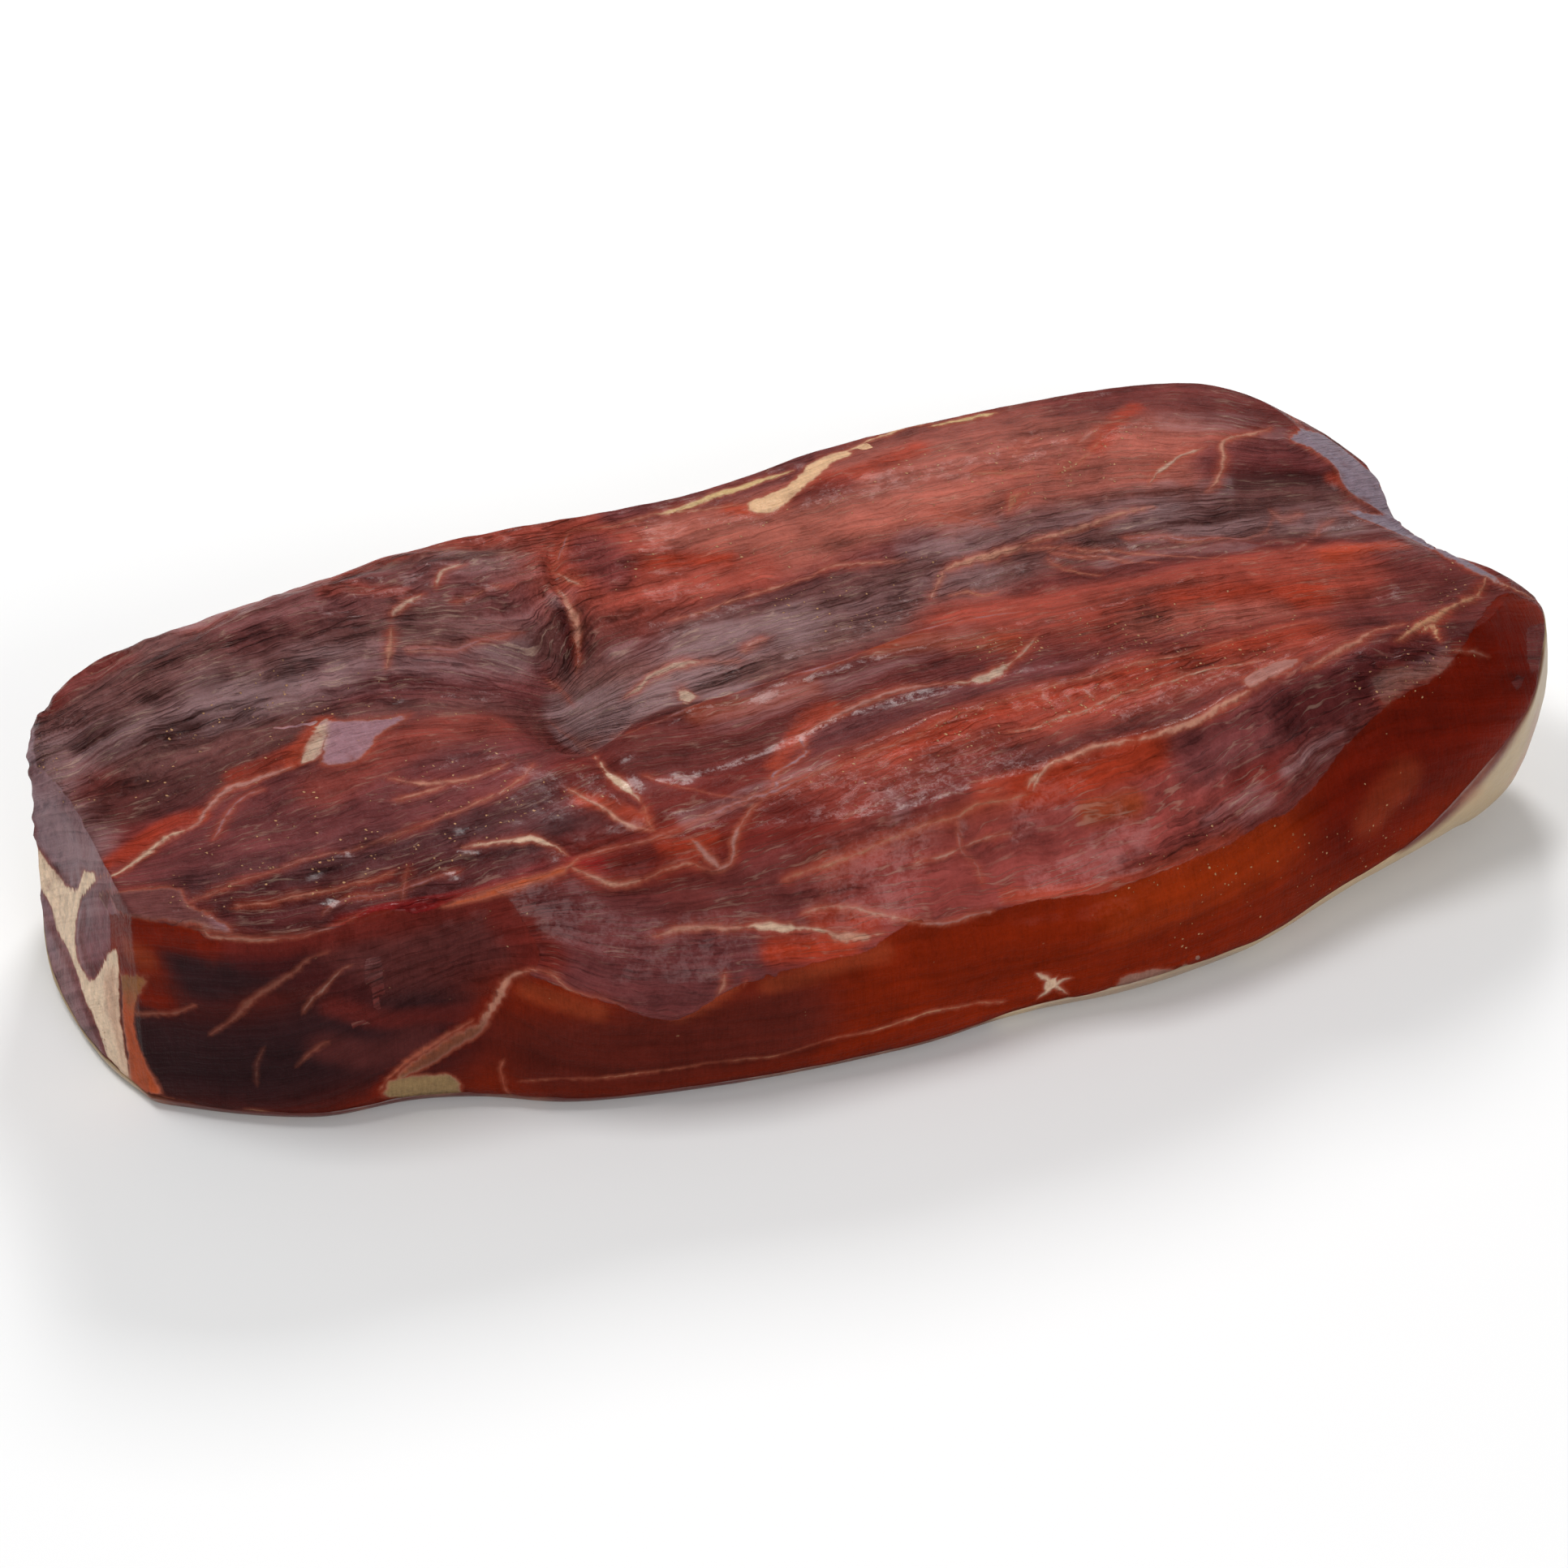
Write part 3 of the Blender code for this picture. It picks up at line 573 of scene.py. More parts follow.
# Veins of the flank and of the wall
FLANK_SEAMS = (
    Seam(Tone.PEACH, 2.0, ((803, 1153), (833, 1146), (876, 1144), (919, 1144)), 0.8),
    Seam(Tone.CREAM, 1.6, ((919, 1143), (940, 1139), (983, 1144), (1026, 1149), (1051, 1157),
                           (1090, 1149))),
    Seam(Tone.CREAM, 3.4, ((928, 1141), (955, 1141), (985, 1144))),
    Seam(Tone.PEACH, 3.4, ((1020, 1150), (1050, 1156), (1075, 1154)), 0.8),
    Seam(Tone.PEACH, 1.3, ((987, 1127), (1013, 1119), (1047, 1119), (1090, 1127), (1133, 1136))),
    Seam(Tone.PINK_FAT, 1.8, ((1133, 1137), (1169, 1138), (1194, 1131), (1226, 1123))),
    Seam(Tone.PEACH, 1.3, ((640, 1198), (666, 1196), (704, 1221), (747, 1232), (775, 1242))),
    Seam(Tone.PEACH, 2.0, ((893, 1202), (891, 1214), (884, 1224)), 0.7),
    Seam(Tone.PEACH, 2.0, ((922, 1206), (919, 1220)), 0.6),
    Seam(Tone.PEACH, 3.0, ((653, 1197), (629, 1205), (617, 1221), (605, 1246), (590, 1266)), 0.8),
    Seam(Tone.TAN_FAT, 5.0, ((600, 1256), (590, 1268), (562, 1282), (539, 1297), (515, 1313), (490, 1332))),
    Seam(Tone.ORANGE_FAT, 1.6, ((582, 1258), (552, 1276), (520, 1296), (490, 1320), (468, 1346)), 0.8),
    Seam(Tone.ORANGE_FAT, 1.2, ((629, 1350), (621, 1339), (617, 1319), (621, 1307)), 0.8),
    Seam(Tone.TAN_FAT, 1.6, ((260, 1276), (287, 1256), (307, 1236), (334, 1217), (358, 1201), (381, 1185),
                             (405, 1174)), 0.6),
    Seam(Tone.GREY_FAT, 1.4, ((374, 1248), (385, 1233), (401, 1217), (417, 1201), (433, 1191)), 0.7),
    Seam(Tone.TAN_FAT, 1.0, ((366, 1315), (374, 1307), (385, 1295), (405, 1284)), 0.6),
    Seam(Tone.GREY_FAT, 0.7, ((315, 1339), (317, 1315), (326, 1291)), 0.35),
    Seam(Tone.PEACH, 1.3, ((238, 1138), (252, 1143), (262, 1153), (290, 1156), (342, 1157)), 0.9),
    Seam(Tone.PINK_FAT, 0.8, ((342, 1157), (370, 1156), (401, 1146), (440, 1130)), 0.7),
    Seam(Tone.TAN_FAT, 1.2, ((169, 1225), (165, 1248), (201, 1250), (240, 1241)), 0.8),
    Seam(Tone.GOLD, 0.7, ((640, 1333), (726, 1331), (781, 1324), (824, 1320), (880, 1311)), 0.9),
    Seam(Tone.GOLD, 0.6, ((880, 1311), (940, 1305), (970, 1299), (1017, 1284)), 0.7),
    Seam(Tone.GOLD, 1.1, ((1017, 1284), (1069, 1273), (1111, 1260), (1154, 1245), (1197, 1239),
                          (1240, 1234))),
    Seam(Tone.GOLD, 1.4, ((653, 1358), (687, 1356)), 0.8),
    Seam(Tone.GOLD, 1.2, ((200, 1354), (240, 1362)), 0.7),
    Seam(Tone.GOLD, 1.2, ((300, 1368), (340, 1372)), 0.6),
    Seam(Tone.GOLD, 2.0, ((1832, 712), (1816, 736), (1784, 752), (1768, 764), (1744, 776),
                          (1720, 792)), 0.7),
    Seam(Tone.GOLD, 1.6, ((1836, 716), (1872, 728), (1896, 740)), 0.6),
    Seam(Tone.GOLD, 2.2, ((1752, 776), (1766, 770), (1774, 788))),
    Seam(Tone.GREY_FAT, 1.4, ((1792, 800), (1815, 802), (1836, 808)), 0.5),
    # A star of fat low on the wall
    Seam(Tone.CREAM, 5.6, ((1291, 1221), (1297, 1213), (1302, 1206))),
    Seam(Tone.CREAM, 2.4, ((1277, 1200), (1288, 1206), (1300, 1214), (1314, 1227))),
    Seam(Tone.CREAM, 2.2, ((1321, 1206), (1306, 1211), (1292, 1221), (1280, 1231))),
    # A rust line over the bevel
    Seam(Tone.RUST, 2.0, ((1583, 508), (1594, 514), (1604, 524)), 0.9),
)

# Patches with a crisp edge, and the short streaks beside them
ISLANDS = (
    # Fat and film on the top
    Island(Tone.LILAC, ((402, 890), (434, 888), (469, 886), (501, 881), (486, 894), (464, 907), (456, 920),
                        (439, 937), (417, 941), (396, 939), (400, 920)), 0.8),
    Seam(Tone.IVORY, 6.0, ((402, 888), (394, 905), (388, 922), (372, 938))),
    Island(Tone.BUTTER, ((1050, 551), (1022, 559), (1000, 571), (980, 588), (960, 602), (938, 612),
                         (920, 620), (928, 631), (950, 631), (968, 619), (988, 603), (1006, 587),
                         (1026, 571), (1048, 560))),
    Island(Tone.PINK_FAT, ((1530, 838), (1554, 824), (1580, 814), (1598, 816), (1588, 828), (1563, 840),
                           (1541, 850)), 0.9),
    Island(Tone.FACET, ((132, 1100), (160, 1097), (215, 1096), (230, 1112), (262, 1132), (284, 1149),
                        (240, 1140), (193, 1133), (148, 1124)), 0.8),
    # A short pale line of painted highlight at the corner
    Seam(Tone.LILAC, 2.6, ((255, 1132), (268, 1140), (284, 1148)), 0.7),
    Island(Tone.IVORY, ((836, 856), (840, 848), (852, 854), (858, 858), (850, 864), (842, 866))),
    # Fat at the corner of the flank
    Island(Tone.OLIVE_FAT, ((147, 1200), (165, 1203), (182, 1204), (172, 1220), (160, 1246),
                            (150, 1226)), 0.6),
    Island(Tone.ORANGE_FAT, ((149, 1222), (163, 1216), (166, 1240), (163, 1262), (170, 1290), (184, 1320),
                             (200, 1350), (176, 1347), (160, 1338), (156, 1300), (150, 1260))),
    Island(Tone.WEDGE_FAT, ((470, 1352), (480, 1336), (500, 1329), (540, 1326), (560, 1330), (568, 1342),
                             (560, 1352))),
    Island(Tone.GREY_FAT, ((1380, 1205), (1410, 1196), (1450, 1196), (1440, 1208), (1400, 1216),
                           (1376, 1220)), 0.6),
    Island(Tone.GREY_FAT, ((1690, 834), (1712, 824), (1752, 820), (1784, 808), (1788, 820), (1760, 836),
                           (1724, 854), (1708, 870), (1698, 856)), 0.18),
    # The bevel at the thick end: its lilac-grey is partly painted reflection of the light it catches
    Island(Tone.BEVEL_SHEEN, ((1604, 528), (1634, 538), (1677, 570), (1699, 591), (1718, 626), (1718, 645),
                        (1690, 626), (1664, 609), (1643, 574), (1617, 553), (1592, 541)), 0.85),
    Island(Tone.BEVEL_SHEEN, ((1720, 640), (1760, 662), (1800, 684), (1850, 718), (1834, 716), (1790, 690),
                        (1740, 664), (1660, 628), (1690, 632)), 0.85),
    # The fat between the muscles of the sliced face
    Island(Tone.SLICE_FAT, ((40, 1040), (52, 1056), (68, 1074), (82, 1092), (94, 1096), (103, 1074),
                            (118, 1082), (110, 1094), (99, 1108), (94, 1130), (93, 1160), (98, 1186),
                            (106, 1204), (116, 1207), (126, 1186), (142, 1172), (145, 1200), (146, 1240),
                            (152, 1290), (160, 1334), (146, 1320), (130, 1300), (118, 1266), (104, 1230),
                            (94, 1200), (84, 1172), (70, 1146), (60, 1112), (46, 1092), (40, 1070))),
    Island(Tone.PEACH, ((124, 1200), (138, 1184), (143, 1200), (145, 1240), (150, 1280), (156, 1330),
                        (146, 1310), (136, 1270), (126, 1230))),
)
MARKS = TOP_SEAMS + FLANK_SEAMS + ISLANDS

# Pale membrane over the meat, and painted sheen and glints where light catches the surface
FILM_AND_SHEEN = (
    Patch(24, 0.26, ((170, 850), (260, 815), (420, 770), (590, 740))),
    Patch(10, 0.35, ((260, 862), (330, 850), (400, 836))),
    # A blue-grey streak of painted sheen
    Patch(8, 0.45, ((380, 825), (480, 824), (560, 816), (640, 812))),
    Patch(8, 0.36, ((110, 925), (200, 890), (300, 862))),
    Patch(5, 0.80, ((220, 765), (300, 738), (380, 708))),
    Patch(7, 0.35, ((560, 690), (640, 690), (690, 730))),
    # Painted lilac sheen in the channel
    Patch(9, 0.95, ((700, 890), (760, 880), (840, 858), (900, 850))),
    Patch(9, 0.60, ((740, 890), (820, 850), (900, 800), (980, 770))),
    Patch(9, 0.50, ((980, 770), (1100, 740), (1200, 700))),
    Patch(6, 0.50, ((760, 800), (840, 790), (900, 775))),
    Patch(7, 0.40, ((880, 880), (980, 850), (1080, 815), (1200, 775))),
    Patch(6, 0.55, ((1120, 668), (1180, 662), (1300, 640), (1440, 612))),
    Patch(8, 0.55, ((1400, 650), (1500, 645), (1600, 642), (1700, 645))),
    # Painted lilac sheen in the channel toward the thick end
    Patch(7, 0.50, ((1370, 690), (1450, 680), (1530, 674))),
    Patch(4, 0.60, ((1484, 606), (1512, 598))),
    Patch(6, 0.50, ((1440, 520), (1530, 520), (1590, 540))),
    Patch(5, 0.30, ((1500, 760), (1600, 750), (1720, 735))),
    Patch(5, 0.25, ((1000, 900), (1100, 870), (1240, 845), (1360, 815))),
    Patch(4, 0.55, ((850, 1008), (940, 972), (1020, 940))),
    # Painted sheen over the shoulder of the flank
    Patch(14, 0.16, ((1100, 1090), (1250, 1060), (1400, 1030), (1500, 980))),
    Patch(5, 0.60, ((1495, 1016), (1530, 1001), (1555, 986))),
    Patch(4.5, 0.60, ((1590, 952), (1612, 934), (1652, 912))),
    Patch(6, 0.10, ((1460, 960), (1540, 900), (1620, 860))),
    Patch(4, 0.50, ((1700, 845), (1740, 830), (1780, 812))),
    Patch(12, 0.08, ((690, 1150), (760, 1190), (840, 1190))),
    Patch(7, 0.35, ((440, 1195), (500, 1190))),
    # A painted glint
    Patch(3, 0.50, ((1098, 980), (1115, 990), (1108, 1008))),
    Patch(14, 0.70, ((50, 960), (80, 1020), (110, 1070))),
    Patch(8, 0.35, ((50, 1130), (70, 1190), (100, 1250))),
    Patch(9, 0.10, ((280, 1120), (400, 1100), (520, 1070))),
)

FLECKS = (
    Patch(9, 0.9, ((1350, 785), (1420, 775), (1500, 775), (1560, 770))),
    Patch(8, 1.0, ((1180, 900), (1300, 870), (1420, 830), (1560, 790))),
    Patch(12, 0.7, ((1150, 570), (1250, 575), (1340, 560), (1390, 555))),
    Patch(5, 1.0, ((1200, 805), (1240, 798), (1275, 790))),
    Patch(8, 0.7, ((300, 865), (340, 858), (355, 850))),
    Patch(5, 0.7, ((225, 895), (265, 885))),
    Patch(10, 0.4, ((200, 960), (280, 940), (360, 910))),
    Patch(10, 0.5, ((400, 865), (450, 860), (600, 890))),
    Patch(12, 0.5, ((1050, 960), (1150, 930), (1230, 900))),
    Patch(7, 0.7, ((990, 750), (1040, 740), (1060, 790), (1100, 780))),
    Patch(5, 1.0, ((1745, 775), (1775, 765), (1790, 700))),
    Patch(5, 1.0, ((40, 935), (70, 950), (100, 980))),
    Patch(20, 0.25, ((300, 1010), (500, 1000), (640, 960))),
    Patch(12, 0.5, ((260, 1080), (400, 1080), (540, 1040), (640, 970))),
    Patch(20, 0.25, ((820, 660), (950, 680), (1100, 640))),
    Patch(14, 0.4, ((1500, 1130), (1600, 1080), (1690, 1030))),
    Patch(10, 0.5, ((1420, 1090), (1500, 1050))),
    Patch(5, 1.0, ((112, 1250), (122, 1272))),
    Patch(6, 0.9, ((1690, 848), (1740, 830), (1790, 812))),
    Patch(6, 0.5, ((600, 1130), (640, 1130))),
)

WET = (
    Patch(18, 0.9, ((440, 1190), (520, 1180), (600, 1160))),
    Patch(18, 0.5, ((680, 1150), (780, 1190), (850, 1180))),
    Patch(20, 0.8, ((1100, 1100), (1250, 1060), (1400, 1030), (1550, 940))),
    Patch(16, 0.3, ((330, 1030), (430, 1020), (500, 1015))),
    Patch(14, 0.5, ((300, 1120), (450, 1090), (600, 1050))),
    Patch(16, 0.5, ((820, 960), (950, 910), (1100, 860))),
)

CRAGS = (
    Patch(34, 1.0, ((110, 900), (250, 820), (430, 760), (600, 730), (680, 720))),
    Patch(12, 0.7, ((260, 1110), (400, 1090), (560, 1060))),
    Patch(16, 1.0, ((440, 1190), (500, 1180), (580, 1160))),
    Patch(12, 0.9, ((1420, 1010), (1520, 940), (1640, 870), (1740, 810))),
    Patch(10, 0.6, ((1180, 900), (1300, 860), (1500, 800))),
    Patch(16, 0.5, ((780, 860), (1000, 790), (1250, 710), (1500, 660))),
    Patch(10, 0.5, ((1400, 780), (1500, 770))),
)

CONTOURS = (
    # The ridge over the flank, and the long line above it
    Contour(1.5, 0.7, 6, ((1280, 965), (1323, 931), (1400, 914), (1477, 889), (1541, 852), (1636, 811),
                          (1730, 765))),
    Contour(0.5, -0.3, 5, ((706, 1057), (828, 1022), (943, 978), (1074, 924), (1186, 876), (1357, 826),
                           (1614, 764))),
    Contour(0.0, -0.5, 3, ((1241, 901), (1341, 871), (1443, 839), (1556, 811))),
    # Where the skin of the flank ends over the bare wall
    Contour(1.5, 0.4, 6, ((1000, 1190), (1090, 1152), (1229, 1120), (1374, 1094), (1486, 1051),
                          (1584, 996), (1670, 906))),
    Contour(1.3, 0.3, 5, ((640, 1204), (726, 1230), (811, 1254), (846, 1251), (897, 1221), (1004, 1187))),
    Contour(0.8, 0.3, 5, ((400, 1240), (480, 1256), (560, 1256), (612, 1240))),
    # The edge between the top and the dark flank
    Contour(0.0, 0.7, 4, ((150, 1124), (240, 1140), (342, 1156), (429, 1134), (523, 1119), (621, 1095),
                          (700, 1066))),
    # The crease, the pinch it ends in, and the lip of the channel
    Contour(0.3, -2.2, 5, ((700, 655), (682, 697), (700, 735), (713, 779), (711, 829))),
    Contour(0.0, -0.9, 4, ((640, 872), (680, 868), (715, 862), (760, 846))),
    Contour(0.0, -0.6, 3, ((680, 893), (719, 919), (765, 965), (800, 1015))),
    Contour(-0.4, 0.8, 6, ((770, 902), (890, 858), (1009, 824), (1140, 776), (1260, 752))),
    Contour(0.0, 0.7, 4, ((130, 900), (250, 872), (340, 852))),
    Contour(-0.5, -0.4, 5, ((120, 925), (230, 905), (330, 885), (400, 862), (520, 850), (640, 852))),
    # The seam round the smooth muscle
    Contour(0.3, -0.6, 4, ((119, 1083), (177, 1049), (246, 1008), (306, 963), (361, 941), (400, 925))),
    Contour(0.0, 0.5, 3, ((1154, 720), (1223, 684), (1343, 645), (1420, 626))),
    Contour(-0.4, 0.6, 5, ((1400, 655), (1506, 664), (1587, 681), (1660, 665), (1720, 655))),
    Contour(0.0, -0.8, 5, ((1500, 602), (1580, 596), (1660, 606))),
    # The brow over the end face, and the hard inner edge of the bevel
    Contour(1.2, 0.8, 6, ((1640, 824), (1712, 796), (1760, 768), (1800, 746), (1834, 718), (1876, 734))),
    Contour(0.0, 0.8, 3, ((1592, 541), (1643, 574), (1664, 609), (1740, 655), (1835, 717))),
)

GRAINS = (
    Grain(0, ((60, 873), (180, 785), (330, 724), (530, 669), (730, 633), (930, 577), (1130, 522))),
    Grain(0, ((1130, 522), (1330, 481), (1480, 475), (1580, 504))),
    Grain(18, ((90, 880), (250, 800), (420, 745), (560, 720), (650, 700), (690, 690))),
    Grain(34, ((110, 900), (280, 830), (440, 790), (580, 780), (660, 810), (700, 865))),
    Grain(48, ((130, 930), (300, 880), (460, 850), (600, 850), (680, 868), (706, 882))),
    Grain(60, ((150, 1000), (300, 930), (420, 890), (560, 880), (650, 890), (704, 893))),
    Grain(78, ((150, 1050), (300, 990), (450, 940), (560, 915), (650, 905), (706, 900))),
    Grain(96, ((170, 1090), (350, 1050), (520, 1000), (620, 970), (700, 930))),
    Grain(112, ((200, 1120), (380, 1100), (560, 1050), (700, 1000), (800, 960))),
    Grain(122, ((312, 1150), (446, 1126), (625, 1090), (700, 1066), (830, 1015), (957, 969))),
    Grain(122, ((957, 969), (1091, 911), (1180, 879), (1300, 844), (1450, 800), (1600, 770))),
    Grain(18, ((740, 680), (900, 640), (1100, 580), (1300, 540), (1500, 530), (1600, 560))),
    Grain(38, ((712, 740), (800, 730), (950, 690), (1150, 640), (1350, 600), (1550, 590))),
    Grain(56, ((712, 860), (780, 820), (900, 780), (1050, 740), (1200, 700), (1400, 650), (1600, 630))),
    Grain(70, ((715, 882), (800, 850), (950, 800), (1100, 760), (1300, 710), (1500, 670), (1700, 650))),
    Grain(84, ((715, 893), (800, 880), (950, 830), (1100, 795), (1300, 755), (1500, 715), (1700, 690))),
    Grain(102, ((715, 915), (800, 930), (900, 920), (1020, 880), (1150, 840), (1300, 800), (1500, 750))),
    Grain(142, ((830, 1090), (957, 1050), (1100, 990), (1280, 940), (1400, 895), (1540, 840), (1700, 780))),
    Grain(158, ((800, 1140), (930, 1130), (1100, 1110), (1300, 1060), (1450, 1010), (1600, 920))),
    Grain(188, ((700, 1260), (900, 1250), (1100, 1220), (1300, 1180), (1450, 1130), (1600, 1060))),
    Grain(215, ((640, 1330), (830, 1330), (1030, 1300), (1230, 1240), (1430, 1195), (1600, 1120))),
    Grain(136, ((160, 1160), (300, 1185), (450, 1165), (600, 1125))),
    Grain(166, ((170, 1240), (300, 1260), (450, 1225), (600, 1165), (700, 1135))),
    Grain(200, ((190, 1330), (320, 1345), (450, 1300), (550, 1230), (640, 1200))),
)


def lattice_noise(places: np.ndarray, seed: int) -> np.ndarray:
    """Smooth noise from 0 to 1 at places, with features about one unit wide.

    Args:
        places: Points, one a row.
        seed: Picks the pattern.

    Returns:
        One value for each point.
    """
    cell = np.floor(places).astype(np.int64)
    share = places - cell
    share = share * share * (3 - 2 * share)
    total = np.zeros(len(places))
    for corner in np.ndindex(2, 2, 2):
        x, y, z = (cell + corner).T
        mixed = (x * 73856093) ^ (y * 19349663) ^ (z * 83492791) ^ (seed * 40503)
        mixed = ((mixed ^ (mixed >> 13)) * 1274126177) & 0x7FFFFFFF
        value = ((mixed ^ (mixed >> 15)) & 0xFFFF) / 0xFFFF
        weight = np.prod(np.where(corner, share, 1 - share), axis=1)
        total += value * weight
    return total


def nearest_on(trace: Trace, places: np.ndarray) -> tuple[np.ndarray, np.ndarray]:
    """The nearest point of a traced line to each place.

    Args:
        trace: The line.
        places: Points in millimetres, one a row.

    Returns:
        The index on the line, and the distance.
    """
    best = np.full(len(places), np.inf)
    index = np.zeros(len(places), int)
    for i, point in enumerate(trace.points):
        far = np.einsum("ij,ij->i", places - point, places - point)
        closer = far < best
        best[closer] = far[closer]
        index[closer] = i
    return index, np.sqrt(best)


def beyond_edge(trace: Trace, places: np.ndarray, skin: float = 9.0) -> np.ndarray:
    """Distance outside a closed edge, negative inside it.

    Args:
        trace: The edge, gone round either way.
        places: Points in millimetres, one a row.
        skin: How far above or below the edge a point may lie and still be inside.

    Returns:
        One value for each point.
    """
    index, far = nearest_on(trace, places)
    outward = trace.outward()
    if np.einsum("ij,ij->i", trace.points - trace.points.mean(axis=0), outward).sum() < 0:
        outward = -outward
    offset = places - trace.points[index]
    out = np.einsum("ij,ij->i", offset, outward[index])
    lifted = np.abs(np.einsum("ij,ij->i", offset, trace.normals[index]))
    return np.where(out > 0, far, -far) + np.clip(lifted - skin, 0.0, None) * 3


@dataclass
class Painter:
    """Works out what covers each point of a piece, from strokes on the photograph.

    Lengths are in millimetres. A trimmed edge is followed to a margin beyond its box, and
    points beyond it count as far_out. A stroke is followed to stroke_room times its reach. A
    soft fibre order bends less sharply at its lines.
    """

    photo: PhotoMap
    places: np.ndarray
    far_out: float = -60.0
    margin: float = 8.0
    fibre_softness: float = 25.0
    stroke_room: float = 2.5

    def brushed(self, ground: Tone, brushes: tuple[Brush, ...]) -> np.ndarray:
        """The tone at each point after all the strokes.

        Args:
            ground: The tone where no stroke reaches.
            brushes: The strokes, laid one over the other.

        Returns:
            Red, green and blue at each point.
        """
        colour = np.tile(np.array(ground.value), (len(self.places), 1))
        for brush in brushes:
            cover = brush.strength * self._near(brush.path, brush.reach)
            colour += cover[:, None] * (np.array(brush.tone.value) - colour)
        return colour

    def amount(self, patches: tuple[Patch, ...]) -> np.ndarray:
        """How much of something covers each point, from 0 to 1."""
        bare = np.ones(len(self.places))
        for patch in patches:
            bare *= 1 - patch.amount * self._near(patch.path, patch.reach)
        return 1 - bare

    def depth(self, edges: tuple[Path, ...]) -> np.ndarray:
        """How far inside the nearest of some closed edges each point lies, in millimetres."""
        deepest = np.full(len(self.places), self.far_out)
        for edge in edges:
            trace = self.photo.trace(edge, True)
            low, high = trace.points.min(0) - self.margin, trace.points.max(0) + self.margin
            near = np.flatnonzero(np.all((self.places > low) & (self.places < high), axis=1))
            deepest[near] = np.maximum(deepest[near], -beyond_edge(trace, self.places[near]))
        return deepest

    def _near(self, path: Path, reach: float) -> np.ndarray:
        """1 on a path, falling smoothly to 0 at about twice its reach."""
        cover = np.zeros(len(self.places))
        trace = self.photo.trace(path)
        trace = Trace(trace.points[::2], trace.normals[::2])
        room = self.stroke_room * reach
        low, high = trace.points.min(0) - room, trace.points.max(0) + room
        inside = np.all((self.places > low) & (self.places < high), axis=1)
        _, far = nearest_on(trace, self.places[inside])
        cover[inside] = np.exp(-((far / reach) ** 4) * 0.7)
        return cover

    def fibre_order(self, grains: tuple[Grain, ...]) -> np.ndarray:
        """A smooth value that is the same all along a fibre and grows across the fibres.

        Args:
            grains: Lines along the fibres, each with its value.

        Returns:
            One value for each point, in millimetres.
        """
        knots, values = [], []
        for grain in grains:
            points = self.photo.trace(grain.path).points[::6]
            knots.append(points)
            values += [grain.order] * len(points)
        knots, values = np.vstack(knots), np.array(values, float)
        far = np.linalg.norm(knots[:, None] - knots[None], axis=2)
        plain = np.column_stack([np.ones(len(knots)), knots])
        smooth = far - np.eye(len(knots)) * self.fibre_softness
        full = np.block([[smooth, plain], [plain.T, np.zeros((4, 4))]])
        weights = np.linalg.solve(full, np.concatenate([values, np.zeros(4)]))
        order = weights[-4] + self.places @ weights[-3:]
        for knot, weight in zip(knots, weights):
            order += weight * np.linalg.norm(self.places - knot, axis=1)
        return order


